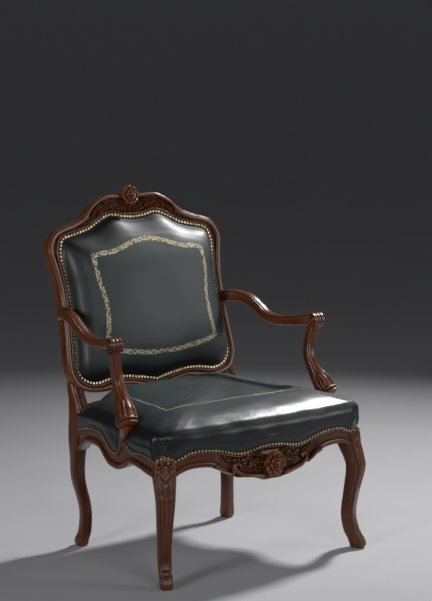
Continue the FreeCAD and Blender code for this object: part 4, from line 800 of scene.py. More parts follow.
def back_outline(inset, count):
    """The nail line of the back moved inwards: across and up, from the top round by the right."""
    half = spline([(a, b) for a, b, _, _ in BACK_KEYS], spacing=2.0, measure=2)
    return whole_ring(half, count, inset, 3, False)


PAD_RISE = [
    (0, 0.3), (4.6, 0.4), (7.5, 7), (10, 15), (14, 23), (20, 31), (26, 36.5), (33, 42), (51, 50), (83, 58),
    (120, 63), (150, 65.5), (190, 66),
]


# Half width and half height of the oval that the rings of the back turn into towards its middle.
OVAL = np.array([225, 212])
BLOCK = 4000


def pad_height(places):
    """Height of the stuffed back over its frame, from a smooth distance to the nail line."""
    line = back_outline(0, 700)
    step = np.linalg.norm(np.roll(line, -1, axis=0) - line, axis=1)
    rise = spline(PAD_RISE, spacing=0.5, measure=2)
    far = np.empty(len(places))
    for start in range(0, len(places), BLOCK):
        part = slice(start, start + BLOCK)
        gap = places[part, None] - line
        far[part] = (
            math.pi / 2 / np.sum(step / np.maximum(np.sum(gap ** 2, axis=2), 1) ** 2, axis=1)
        ) ** (1 / 3)
    # The top of the pad rises more softly than its sides.
    slow = 1 + 1.6 * ease(places[:, 1], 290, 430)
    return np.interp(4 + np.maximum(far - 4, 0) / slow, rise[:, 0], rise[:, 1])


def back_rings(rows, count=300):
    """Rings over the back from rows of inset, scale and height."""
    middle = np.array([0, BACK_MIDDLE])
    rings = []
    for inset, scale, w in rows:
        ring = back_outline(inset, count)
        # Towards the middle the rings turn into ovals, so that the pad has no creases from its corners.
        oval = (1 - ease(scale, 0.45, 0.97)) * 0.85
        turn = np.arctan2(ring[:, 1] - middle[1], ring[:, 0])
        round_ring = middle + OVAL * np.stack([np.cos(turn), np.sin(turn)], axis=1)
        ring = middle + ((ring - middle) * (1 - oval) + (round_ring - middle) * oval) * scale
        rings.append(on_back(ring[:, 0], ring[:, 1], w))
    return np.array(rings)


def seat_outline(offset, count, rear_set=0.0):
    """The plan of the seat moved outwards, from the middle of the front round by the right."""
    right = [(0, FRONT_Y - 20), (100, front_face(100.0)), (200, front_face(200.0)), (285, front_face(285.0)),
             (306, -301), (326.3, -292.6), (343, -283), (351, -268)]
    right += [(side_face(y), y) for y in (-240.0, -180.0, -120.0, -60.0, 0.0, 60.0, 110.0, 150.0)]
    right += [(279, 172 - rear_set * 0.1), (262, 208 - rear_set)]
    rear = [(225, 209 - rear_set), (120, 209 - rear_set), (0, 209 - rear_set)]
    half = spline(np.vstack([right, rear]), spacing=2.0, measure=2)
    return whole_ring(half, count, offset, 8, True)


def nail_height(x, y):
    """Height of the seat's nail line at places on its plan."""
    u = np.abs(x)
    front = spline(FRONT_NAILS, spacing=1.0, measure=2)
    side = spline(SIDE_NAILS, spacing=1.0, measure=2)
    over_front = np.interp(u, front[:, 0], front[:, 1])
    over_side = np.interp(y, side[:, 0], side[:, 1])
    leg = np.clip((u - 301) / 49, 0, 1)
    arch = 332 + 11 * np.exp(-((leg - 0.5) / 0.22) ** 2)
    height = np.where(y < -275, np.where(u < 301, over_front, arch), over_side)
    return np.where(y > 158, 352.0, height)


def seat_rows(inward, low):
    """Rows of the seat pad above its rails: offset, scale, height, share of the rear set."""
    out, edge, top = -0.1 - inward, 412 - inward, 37.0
    rows = [(out, 1.0, low, 0), (out + 2, 1.0, (low + RAIL_TOP) / 2, 0), (out + 4, 1.0, RAIL_TOP, 0.05)]
    for wide, scale, high, rear in (
        (6.0, 1.0, 380, 0.3), (6.2, 1.0, 388, 0.6), (4.6, 0.996, 397, 0.8), (0.6, 0.988, 405, 0.95)
    ):
        rows.append((out + wide, scale, high - inward, rear))
    for scale, share in (
        (0.968, 0.0), (0.935, 0.12), (0.89, 0.25), (0.82, 0.42), (0.70, 0.63), (0.54, 0.81), (0.36, 0.93),
        (0.16, 0.99),
    ):
        rows.append((out, scale, edge + top * share, 1))
    return rows


# Where the distance from the band is not needed, this one is stored, in millimetres.
OFF_BAND = 60


def band_marks(piece, places, path, shown=None):
    """Stores how far each point is from the tooled band, and how far along it lies."""
    line = spline(path, spacing=CARVED_STEP, measure=2)
    reach = travelled(line)
    way = directions(line)
    across = np.empty(len(places))
    along = np.empty(len(places))
    for start in range(0, len(places), BLOCK):
        part = slice(start, start + BLOCK)
        near, du, dv = nearest(np.abs(places[part, 0]), places[part, 1], line)
        side = du * way[near, 1] - dv * way[near, 0]
        across[part] = np.sign(side) * np.hypot(du, dv)
        ahead = du * way[near, 0] + dv * way[near, 1]
        along[part] = reach[near] + np.clip(ahead, -CARVED_STEP, CARVED_STEP)
    if shown is not None:
        across = np.where(shown & (np.abs(across) < OFF_BAND), across, OFF_BAND)
    mark(piece, "band_across", across)
    mark(piece, "band_along", along)


def finder_of(points):
    """A finder of the nearest of some points."""
    finder = kdtree.KDTree(len(points))
    for number, point in enumerate(points):
        finder.insert(point, number)
    finder.balance()
    return finder


CLOTH_FACES = 3500
CLOTH_FRAMES = 10
# How far a point may move, in millimetres.
CLOTH_CAP = 3
# How many points of the thinned copy each point follows, and how evenly, in square millimetres.
FOLLOWED, EVENNESS = 24, 150


def settle(piece, pinned):
    """Lets a padded cover swell as cloth: a thinned copy is simulated, and the cover follows it."""
    start = points_of(piece)
    copy = piece.copy()
    copy.data = piece.data.copy()
    bpy.context.collection.objects.link(copy)
    pick(copy)
    thinned = copy.modifiers.new("Thinned", "DECIMATE")
    thinned.ratio = min(1.0, CLOTH_FACES / len(copy.data.polygons))
    bpy.ops.object.modifier_apply(modifier=thinned.name)
    before = points_of(copy)
    finder = finder_of(start)
    held = [number for number, point in enumerate(before) if pinned[finder.find(point)[1]]]
    copy.vertex_groups.new(name="held").add(held, 1.0, "REPLACE")
    cloth = copy.modifiers.new("Cloth", "CLOTH")
    cloth.settings.vertex_group_mass = "held"
    cloth.settings.use_pressure = True
    cloth.settings.uniform_pressure_force = 4
    cloth.settings.effector_weights.gravity = 0
    cloth.settings.bending_stiffness = 20
    cloth.point_cache.frame_start = 1
    cloth.point_cache.frame_end = CLOTH_FRAMES
    for frame_number in range(1, CLOTH_FRAMES + 1):
        bpy.context.scene.frame_set(frame_number)
    bpy.ops.object.modifier_apply(modifier=cloth.name)
    bpy.context.scene.frame_set(1)
    moved = points_of(copy) - before
    size = np.linalg.norm(moved, axis=1)
    moved = moved * np.minimum(1, CLOTH_CAP / np.maximum(size, 0.001))[:, None]
    bpy.data.meshes.remove(copy.data)
    # Each point takes the mean motion of the copy's points round it, so no small wrinkle comes across.
    finder = finder_of(before)
    followed = np.zeros_like(start)
    for number, point in enumerate(start):
        near = finder.find_n(point, FOLLOWED)
        weights = np.array([1 / (distance * distance + EVENNESS) for _, _, distance in near])
        followed[number] = weights @ moved[[index for _, index, _ in near]] / weights.sum()
    followed[pinned] = 0
    move_points(piece, start + followed)


# ---- materials ----

def plug(tree, made, inputs):
    """Links or sets the inputs of a node, by name or by number."""
    for key, value in inputs.items():
        if isinstance(value, bpy.types.NodeSocket):
            tree.links.new(value, made.inputs[key])
        else:
            made.inputs[key].default_value = value


def node(tree, kind, inputs=None, out=0, **settings):
    """Adds a node with its settings and its inputs, and gives one of its outputs."""
    made = tree.nodes.new(kind)
    for key, value in settings.items():
        setattr(made, key, value)
    plug(tree, made, inputs or {})
    return made.outputs[out]


def overlaid(tree, under, over, mask, low, high, most=1.0):
    """One tone laid over another: none of it where a mask is low, and the most where the mask is high."""
    share = node(tree, "ShaderNodeMapRange", {0: mask, 1: low, 2: high, 4: most})
    return node(tree, "ShaderNodeMix", {0: share, 6: under, 7: over}, out=2, data_type="RGBA")


def start_material(name):
    """A new material, its node tree and its shader, or None for the shader if it was made before."""
    if name in bpy.data.materials:
        return bpy.data.materials[name], None, None
    material = bpy.data.materials.new(name)
    material.use_nodes = True
    tree = material.node_tree
    return material, tree, tree.nodes["Principled BSDF"]


def waxed_wood(grain):
    """Walnut-stained beech, carved, waxed and rubbed, with its grain along x, y or z."""
    # Painted shade darkens the hollows of the carving, and the ridges are painted lighter, partly as stain
    # worn thin by hands and partly as painted highlight.
    material, tree, shader = start_material("Waxed stained beech, grain " + grain)
    if shader is None:
        return material
    colours = bpy.context.scene.fauteuil_colours
    place = node(tree, "ShaderNodeTexCoord", out=3)
    stretch = {"x": (0.10, 1, 1), "y": (1, 0.10, 1), "z": (1, 1, 0.10)}[grain]
    along = node(tree, "ShaderNodeMapping", {0: place, 3: stretch})
    # Growth rings about 4 mm wide and pores about 0.8 mm wide, coarser than real ones so that they show.
    bands = node(tree, "ShaderNodeTexNoise", {
        "Vector": along, "Scale": 110, "Detail": 5, "Roughness": 0.62, "Distortion": 0.6
    })
    pores = node(tree, "ShaderNodeTexNoise", {"Vector": along, "Scale": 620, "Detail": 2, "Roughness": 0.5})
    cloud = node(tree, "ShaderNodeTexNoise", {"Vector": place, "Scale": 9, "Detail": 3, "Roughness": 0.5})
    share = node(tree, "ShaderNodeMath", {
        0: node(tree, "ShaderNodeMath", {0: bands, 1: 0.65}, operation="MULTIPLY"),
        1: node(tree, "ShaderNodeMath", {0: cloud, 1: 0.45}, operation="MULTIPLY")
    }, operation="ADD")
    hollow = node(tree, "ShaderNodeAttribute", out=2, attribute_name="hollow")
    tone = overlaid(tree, list(colours.wood_dark), list(colours.wood), share, 0.38, 0.72)
    tone = overlaid(tree, tone, list(colours.wood_pores_and_shade), pores, 0.62, 0.78, 0.35)
    # Painted shade: the hollows of the carving are darkened almost to black.
    tone = overlaid(tree, tone, list(colours.wood_pores_and_shade), hollow, 0.02, 0.4, 0.95)
    # Painted highlight together with worn stain: the ridges are lightened.
    tone = overlaid(tree, tone, list(colours.wood_wear_and_highlight), hollow, -0.06, -0.45, 0.35)
    gloss = node(tree, "ShaderNodeMath", {
        0: node(tree, "ShaderNodeMapRange", {0: cloud, 1: 0.3, 2: 0.7, 3: 0.26, 4: 0.38}),
        1: node(tree, "ShaderNodeMapRange", {0: hollow, 1: 0.02, 2: 0.4, 3: 0, 4: 0.4})
    }, operation="ADD")
    bump = node(tree, "ShaderNodeBump", {"Strength": 0.16, "Distance": 0.0004, "Height": pores})
    wavy = node(tree, "ShaderNodeTexNoise", {"Vector": place, "Scale": 75, "Detail": 2})
    bump = node(tree, "ShaderNodeBump", {
        "Strength": 0.12, "Distance": 0.0012, "Height": wavy, "Normal": bump
    })
    plug(tree, shader, {
        "Base Color": tone, "Roughness": gloss, "Normal": bump, "IOR": 1.5, "Coat Weight": 0.1,
        "Coat Roughness": 0.12
    })
    return material


def bare_wood():
    """Sawn beech, left unfinished on the inside of the seat frame."""
    # The saw leaves faint ribs, and the wood stays matt and paler than the waxed frame.
    material, tree, shader = start_material("Sawn beech")
    if shader is None:
        return material
    place = node(tree, "ShaderNodeTexCoord", out=3)
    along = node(tree, "ShaderNodeMapping", {0: place, 3: (0.12, 1, 1)})
    bands = node(tree, "ShaderNodeTexNoise", {"Vector": along, "Scale": 120, "Detail": 5, "Distortion": 0.5})
    saw = node(tree, "ShaderNodeTexWave", {
        "Vector": place, "Scale": 95, "Distortion": 2.5
    }, bands_direction="X")
    tone = overlaid(tree, linear("#4e2c18"), linear("#7b5232"), bands, 0.35, 0.7)
    bump = node(tree, "ShaderNodeBump", {"Strength": 0.3, "Distance": 0.0005, "Height": saw})
    plug(tree, shader, {"Base Color": tone, "Normal": bump, "Roughness": 0.62})
    return material


def leather(name, band=None, gloss=0.34):
    """Vat-dyed calf leather, glazed, with gold leaf tooled into it along its band."""
    # The glaze gives broad soft lights, the swelled parts are painted a lighter grey, partly as wear from use
    # and partly as painted sheen, and the gold leaf is worn in spots.
    material, tree, shader = start_material(name)
    if shader is None:
        return material
    colours = bpy.context.scene.fauteuil_colours
    sizes = bpy.context.scene.fauteuil_leather
    place = node(tree, "ShaderNodeTexCoord", out=3)
    # Grain cells about 1.6 mm wide, under a glaze that lets only soft cells show.
    cells = node(tree, "ShaderNodeTexVoronoi", {
        "Vector": place, "Scale": 1000 / sizes.grain
    }, feature="SMOOTH_F1")
    cloud = node(tree, "ShaderNodeTexNoise", {"Vector": place, "Scale": 7, "Detail": 4, "Roughness": 0.55})
    fine = node(tree, "ShaderNodeTexNoise", {"Vector": place, "Scale": 160, "Detail": 3, "Roughness": 0.6})
    worn = node(tree, "ShaderNodeAttribute", out=2, attribute_name="worn")
    tone = overlaid(tree, list(colours.leather), list(colours.leather_light), cloud, 0.38, 0.68)
    tone = overlaid(tree, tone, list(colours.leather), fine, 0.45, 0.75, 0.35)
    # Painted sheen together with wear: a lighter grey where the worn mark is high.
    tone = overlaid(tree, tone, list(colours.leather_wear_and_sheen), worn, 0, 1, 0.55)
    rough = node(tree, "ShaderNodeMath", {
        0: node(tree, "ShaderNodeMapRange", {0: cloud, 1: 0.3, 2: 0.7, 3: gloss, 4: gloss + 0.1}),
        1: node(tree, "ShaderNodeMapRange", {0: fine, 1: 0.4, 2: 0.8, 3: 0, 4: 0.06})
    }, operation="ADD")
    folds = node(tree, "ShaderNodeTexNoise", {"Vector": place, "Scale": 22, "Detail": 2})
    bump = node(tree, "ShaderNodeBump", {"Strength": 0.10, "Distance": 0.0004, "Height": cells})
    bump = node(tree, "ShaderNodeBump", {
        "Strength": 0.12, "Distance": 0.002, "Height": folds, "Normal": bump
    })
    metal = 0.0
    if band:
        across = node(tree, "ShaderNodeAttribute", out=2, attribute_name="band_across")
        along = node(tree, "ShaderNodeAttribute", out=2, attribute_name="band_along")
        gold = band(tree, across, along, place)
        wear = node(tree, "ShaderNodeTexNoise", {"Vector": place, "Scale": 260, "Detail": 2})
        gold = node(tree, "ShaderNodeMath", {
            0: gold, 1: node(tree, "ShaderNodeMapRange", {0: wear, 1: 0.28, 2: 0.42})
        }, operation="MULTIPLY")
        leaf_tone = overlaid(tree, list(colours.gilt), linear("#fbf1cc"), cloud, 0.35, 0.65)
        tone = node(tree, "ShaderNodeMix", {0: gold, 6: tone, 7: leaf_tone}, out=2, data_type="RGBA")
        rough = node(tree, "ShaderNodeMix", {0: gold, 2: rough, 3: 0.42}, data_type="FLOAT")
        metal = node(tree, "ShaderNodeMath", {0: gold, 1: 0.12}, operation="MULTIPLY")
        bump = node(tree, "ShaderNodeBump", {
            "Strength": 0.5, "Distance": 0.0006, "Height": gold, "Normal": bump
        }, invert=True)
    plug(tree, shader, {
        "Base Color": tone, "Roughness": rough, "Normal": bump, "Metallic": metal, "IOR": 1.5,
        "Coat Weight": 0.12, "Coat Roughness": 0.3
    })
    return material


def scroll_band(tree, across, along, _place):
    """Mask of the band on the back: a winding stem between leaves, coarse enough to show."""
    half = bpy.context.scene.fauteuil_leather.band_width / 2
    # One bend of the stem every 26 mm, leaves about 5 mm long with dark gaps of 2 mm between them.
    turn = node(tree, "ShaderNodeMath", {0: along, 1: 2 * math.pi / 26}, operation="MULTIPLY")
    stem = node(tree, "ShaderNodeMath", {
        0: node(tree, "ShaderNodeMath", {0: turn}, operation="SINE"), 1: half * 0.5
    }, operation="MULTIPLY")
    off = node(tree, "ShaderNodeMath", {
        0: node(tree, "ShaderNodeMath", {0: across, 1: stem}, operation="SUBTRACT")
    }, operation="ABSOLUTE")
    line = node(tree, "ShaderNodeMapRange", {0: off, 1: 1.5, 2: 1.0})
    moat = node(tree, "ShaderNodeMapRange", {0: off, 1: 2.0, 2: 2.8})
    flat = node(tree, "ShaderNodeCombineXYZ", {0: along, 1: across, 2: 0.0})
    bent = node(tree, "ShaderNodeTexNoise", {"Vector": flat, "Scale": 0.16, "Detail": 1}, out=1)
    bent = node(tree, "ShaderNodeVectorMath", {0: bent, 1: (5.0, 5.0, 0.0)}, operation="MULTIPLY")
    bent = node(tree, "ShaderNodeVectorMath", {0: bent, 1: flat}, operation="ADD")
    leaves = node(tree, "ShaderNodeTexVoronoi", {
        "Vector": bent, "Scale": 0.19, "Randomness": 0.85
    }, feature="DISTANCE_TO_EDGE")
    leaves = node(tree, "ShaderNodeMath", {
        0: node(tree, "ShaderNodeMapRange", {0: leaves, 1: 0.10, 2: 0.17}), 1: moat
    }, operation="MULTIPLY")
    mask = node(tree, "ShaderNodeMath", {0: line, 1: leaves}, operation="MAXIMUM")
    wavy = node(tree, "ShaderNodeMath", {
        0: node(tree, "ShaderNodeMath", {
            0: node(tree, "ShaderNodeMath", {0: turn, 1: 4.0}, operation="MULTIPLY")
        }, operation="SINE"),
        1: 0.9
    }, operation="MULTIPLY")
    edge = node(tree, "ShaderNodeMath", {
        0: node(tree, "ShaderNodeMath", {0: wavy, 1: half - 0.6}, operation="ADD"),
        1: node(tree, "ShaderNodeMath", {0: across}, operation="ABSOLUTE")
    }, operation="SUBTRACT")
    return node(tree, "ShaderNodeMath", {
        0: mask, 1: node(tree, "ShaderNodeMapRange", {0: edge, 1: -0.4, 2: 0.4})
    }, operation="MULTIPLY")


def line_band(tree, across, along, place):
    """Mask of the line on the seat: two thin rules with small rings between them, rubbed by use."""
    half = bpy.context.scene.fauteuil_leather.seat_band_width / 2
    off = node(tree, "ShaderNodeMath", {0: across}, operation="ABSOLUTE")
    rule = node(tree, "ShaderNodeMapRange", {
        0: node(tree, "ShaderNodeMath", {
            0: node(tree, "ShaderNodeMath", {0: off, 1: half - 0.6}, operation="SUBTRACT")
        }, operation="ABSOLUTE"),
        1: 0.8, 2: 0.3
    })
    beads = node(tree, "ShaderNodeMath", {
        0: node(tree, "ShaderNodeMath", {0: along, 1: 2 * math.pi / 5}, operation="MULTIPLY")
    }, operation="SINE")
    beads = node(tree, "ShaderNodeMath", {
        0: node(tree, "ShaderNodeMapRange", {0: beads, 1: -0.1, 2: 0.5}),
        1: node(tree, "ShaderNodeMapRange", {0: off, 1: half - 0.6, 2: half - 1.4})
    }, operation="MULTIPLY")
    rubbed = node(tree, "ShaderNodeTexNoise", {"Vector": place, "Scale": 30, "Detail": 3})
    mask = node(tree, "ShaderNodeMath", {0: rule, 1: beads}, operation="MAXIMUM")
    return node(tree, "ShaderNodeMath", {
        0: mask, 1: node(tree, "ShaderNodeMapRange", {0: rubbed, 1: 0.34, 2: 0.62, 3: 0.25, 4: 0.8})
    }, operation="MULTIPLY")


def aged_brass():
    """Stamped brass, aged."""
    # Some heads are rubbed pale, others are dulled brown in spots, so the row glints unevenly.
    material, tree, shader = start_material("Aged brass")
    if shader is None:
        return material
    colours = bpy.context.scene.fauteuil_colours
    place = node(tree, "ShaderNodeTexCoord", out=3)
    stain = node(tree, "ShaderNodeTexNoise", {"Vector": place, "Scale": 190, "Detail": 3, "Roughness": 0.6})
    heads = node(tree, "ShaderNodeTexNoise", {"Vector": place, "Scale": 45, "Detail": 1})
    tone = overlaid(tree, list(colours.brass), linear("#8a7448"), stain, 0.42, 0.68)
    tone = overlaid(tree, tone, linear("#eadfb8"), heads, 0.35, 0.65, 0.5)
    plug(tree, shader, {
        "Base Color": tone,
        "Roughness": node(tree, "ShaderNodeMapRange", {0: stain, 1: 0.35, 2: 0.7, 3: 0.4, 4: 0.6}),
        "Metallic": 1
    })
    return material


def cut_steel():
    """Cut steel screws, dull with age."""
    # They look grey, with brown stains that take the shine away.
    material, tree, shader = start_material("Cut steel")
    if shader is None:
        return material
    place = node(tree, "ShaderNodeTexCoord", out=3)
    stain = node(tree, "ShaderNodeTexNoise", {"Vector": place, "Scale": 300, "Detail": 3})
    tone = overlaid(tree, linear("#8d8a85"), linear("#54463a"), stain, 0.4, 0.65)
    plug(tree, shader, {
        "Base Color": tone,
        "Roughness": node(tree, "ShaderNodeMapRange", {0: stain, 1: 0.3, 2: 0.7, 3: 0.35, 4: 0.6}),
        "Metallic": 1
    })
    return material


def woven_jute(name, light, dark, thread):
    """Plain-woven jute with threads of a given width in millimetres."""
    material, tree, shader = start_material(name)
    if shader is None:
        return material
    place = node(tree, "ShaderNodeTexCoord", out=3)
    # Each wave is one thread wide, which gives a coarse, matt check of light and dark.
    scale = 1000 / thread / (2 * math.pi)
    threads = {"Vector": place, "Scale": scale, "Distortion": 1.2}
    first, second = (node(tree, "ShaderNodeTexWave", threads, bands_direction=way) for way in "XY")
    weave = node(tree, "ShaderNodeMath", {0: first, 1: second}, operation="MAXIMUM")
    fuzz = node(tree, "ShaderNodeTexNoise", {"Vector": place, "Scale": 380, "Detail": 3})
    tone = overlaid(tree, linear(dark), linear(light), weave, 0.2, 0.9)
    tone = overlaid(tree, tone, linear(dark), fuzz, 0.5, 0.8, 0.4)
    bump = node(tree, "ShaderNodeBump", {"Strength": 0.7, "Distance": thread * 0.0004, "Height": weave})
    plug(tree, shader, {"Base Color": tone, "Normal": bump, "Roughness": 0.9, "Sheen Weight": 0.25})
    return material


def curled_hair():
    """Curled horsehair, seen only where the cover is lifted."""
    # Tangled strands, dark between and brown on top, with next to no shine.
    material, tree, shader = start_material("Curled horsehair")
    if shader is None:
        return material
    place = node(tree, "ShaderNodeTexCoord", out=3)
    strands = node(tree, "ShaderNodeTexNoise", {
        "Vector": place, "Scale": 210, "Detail": 4, "Distortion": 3.0
    })
    tone = overlaid(tree, linear("#241a14"), linear("#5d4a3a"), strands, 0.4, 0.62)
    bump = node(tree, "ShaderNodeBump", {"Strength": 0.9, "Distance": 0.0012, "Height": strands})
    plug(tree, shader, {"Base Color": tone, "Normal": bump, "Roughness": 0.85})
    return material


# ---- operators ----

class FauteuilOperator:
    """What every operator of this chair shares."""
    bl_options = {"REGISTER", "UNDO"}

    def execute(self, context):
        self.build(context.scene)
        return {"FINISHED"}


def frame_rows():
    """Rows of the right half of the back frame and where its three pieces meet."""
    rows = spline(BACK_KEYS, spacing=2.4, measure=4)
    crest_end = int(np.argmax(rows[:, 0] > 244))
    lower_end = int(len(rows) - np.argmax(rows[::-1, 0] > 236))
    return rows, crest_end, lower_end


class FAUTEUIL_OT_back_frame(FauteuilOperator, bpy.types.Operator):
    """Carves the crest rail, the two rear posts and the lower back rail"""
    bl_idname = "fauteuil.back_frame"
    bl_label = "Back frame"

    def build(self, scene):
        sizes = scene.fauteuil_carving
        rows, crest_end, lower_end = frame_rows()
        flip = np.array([-1, 1, -1, 1])
        top = rows[:crest_end + 1]
        crest = frame_stretch("crest_rail_carved", np.vstack([(top * flip)[:0:-1], top]), 60, sizes)
        flower = blossom("crest_flower", on_back(-7.0, 506.0, 5.0), OUT, UP, 30, 7, 0.9)
        crest = joined("crest_rail_carved", [crest, flower])
        mark_hollows(crest)
        finish(crest, waxed_wood("x"), "carved_wood", "crest_rail")
        low = rows[lower_end - 1:]
        lower = frame_stretch("lower_back_rail_moulded", np.vstack([low, (low * flip)[-2::-1]]), 44, sizes)
        mark_hollows(lower)
        finish(lower, waxed_wood("x"), "carved_wood", "lower_back_rail")
        stile = frame_stretch("stile", rows[crest_end:lower_end], 50, sizes)
        post = joined("rear_post_right_moulded", [stile, skin("post", post_rings())])
        wooden_pair(post, "rear_post_right", "z")


class FAUTEUIL_OT_front_legs(FauteuilOperator, bpy.types.Operator):
    """Carves the two front legs"""
    bl_idname = "fauteuil.front_legs"
    bl_label = "Front legs"

    def build(self, scene):
        wooden_pair(skin("front_leg_right_carved", leg_rings()), "front_leg_right", "z")


class FAUTEUIL_OT_seat_rails(FauteuilOperator, bpy.types.Operator):
    """Carves the front rail and moulds the side rails"""
    bl_idname = "fauteuil.seat_rails"
    bl_label = "Seat rails"

    def build(self, scene):
        rail = rail_skin("rail", FRONT_NAILS, FRONT_LOW, (-300, 300), 2.0, on_front, front_carving)
        flower = blossom("rail_flower", (0, front_face(0.0) - 12, 291.0), (0, -1, 0), (0, 0, 1), 37, 5, 0.85)
        front = joined("front_seat_rail_carved", [rail, flower])
        mark_hollows(front)
        finish(front, waxed_wood("x"), "carved_wood", "front_seat_rail")
        side = rail_skin("side_seat_rail_right_moulded", SIDE_NAILS, SIDE_LOW, (-274, 157), 2.2, on_side)
        wooden_pair(side, "side_seat_rail_right", "y")


class FAUTEUIL_OT_arms(FauteuilOperator, bpy.types.Operator):
    """Shapes the two arms and the scrolls at their ends"""
    bl_idname = "fauteuil.arms"
    bl_label = "Arms"

    def build(self, scene):
        bar = skin("bar", sweep(spline(ARM_KEYS, 2.8), 64, (0, 0, 1), 0.6, arm_relief))
        arm = joined("arm_right_shaped", [bar, skin("end", arm_scroll())])
        wooden_pair(arm, "arm_right", "y")


class FAUTEUIL_OT_arm_supports(FauteuilOperator, bpy.types.Operator):
    """Carves the two arm supports"""
    bl_idname = "fauteuil.arm_supports"
    bl_label = "Arm supports"

    def build(self, scene):
        shaft = skin("shaft", sweep(spline(SUPPORT_KEYS, 1.7), 110, (0, -1, 0), 0.66, support_relief))
        tail = skin("tail", sweep(spline(TAIL_KEYS, 3.0), 48, (0, -1, 0), 0.66))
        wooden_pair(joined("arm_support_right_carved", [shaft, tail]), "arm_support_right", "z")


class FAUTEUIL_OT_back_leather(FauteuilOperator, bpy.types.Operator):
    """Stretches the leather over the front and the rear of the back"""
    bl_idname = "fauteuil.back_leather"
    bl_label = "Back leather"

    def build(self, scene):
        rows = [(-5, 1.0, -2.3), (-5, 1.0, -0.6), (-4.4, 1.0, 0.1), (0, 1.0, 0.2), (4.6, 1.0, 0.4)]
        rise = [
            (4.6, 1.0, 0.4), (7.5, 1.0, 7.0), (10, 1.0, 15), (14, 1.0, 23), (20, 1.0, 31), (20, 0.975, 37),
            (20, 0.94, 43), (20, 0.86, 50), (20, 0.72, 57), (20, 0.52, 62.5), (20, 0.30, 65.4),
            (20, 0.12, 66), (20, 0.02, 66),
        ]
        dense = spline([(a, b * 200, c) for a, b, c in rise], spacing=4.5)
        rows += [(a, b / 200, c) for a, b, c in dense[1:]]
        cover = skin("back_leather", back_rings(rows))
        places, high = from_back(points_of(cover))
        held = high < 2
        swell = np.where(high > 0.35, pad_height(places), high)
        move_points(cover, points_of(cover) + (swell - high)[:, None] * OUT)
        settle(cover, held)
        places, high = from_back(points_of(cover))
        band_marks(cover, places, BACK_BAND)
        # Painted sheen together with wear: the higher the pad swells, the lighter grey it is painted.
        mark(cover, "worn", ease(high, 30, 62))
        finish(
            cover, leather("Gilt-tooled calf leather", scroll_band, 0.46), "leather", "back_leather_cover",
            angle=60,
        )
        rows = [
            (4, 1.0, -33.1), (4, 1.0, -35.0), (5.5, 1.0, -35.4), (16, 1.0, -35.4), (16, 0.97, -36.2),
            (16, 0.85, -38.2), (16, 0.6, -40.2), (16, 0.3, -41.2), (16, 0.02, -41.4),
        ]
        rear = skin("back_outside_leather", back_rings(rows, 220))
        finish(rear, leather("Calf leather"), "leather", "back_outside_cover", angle=60)


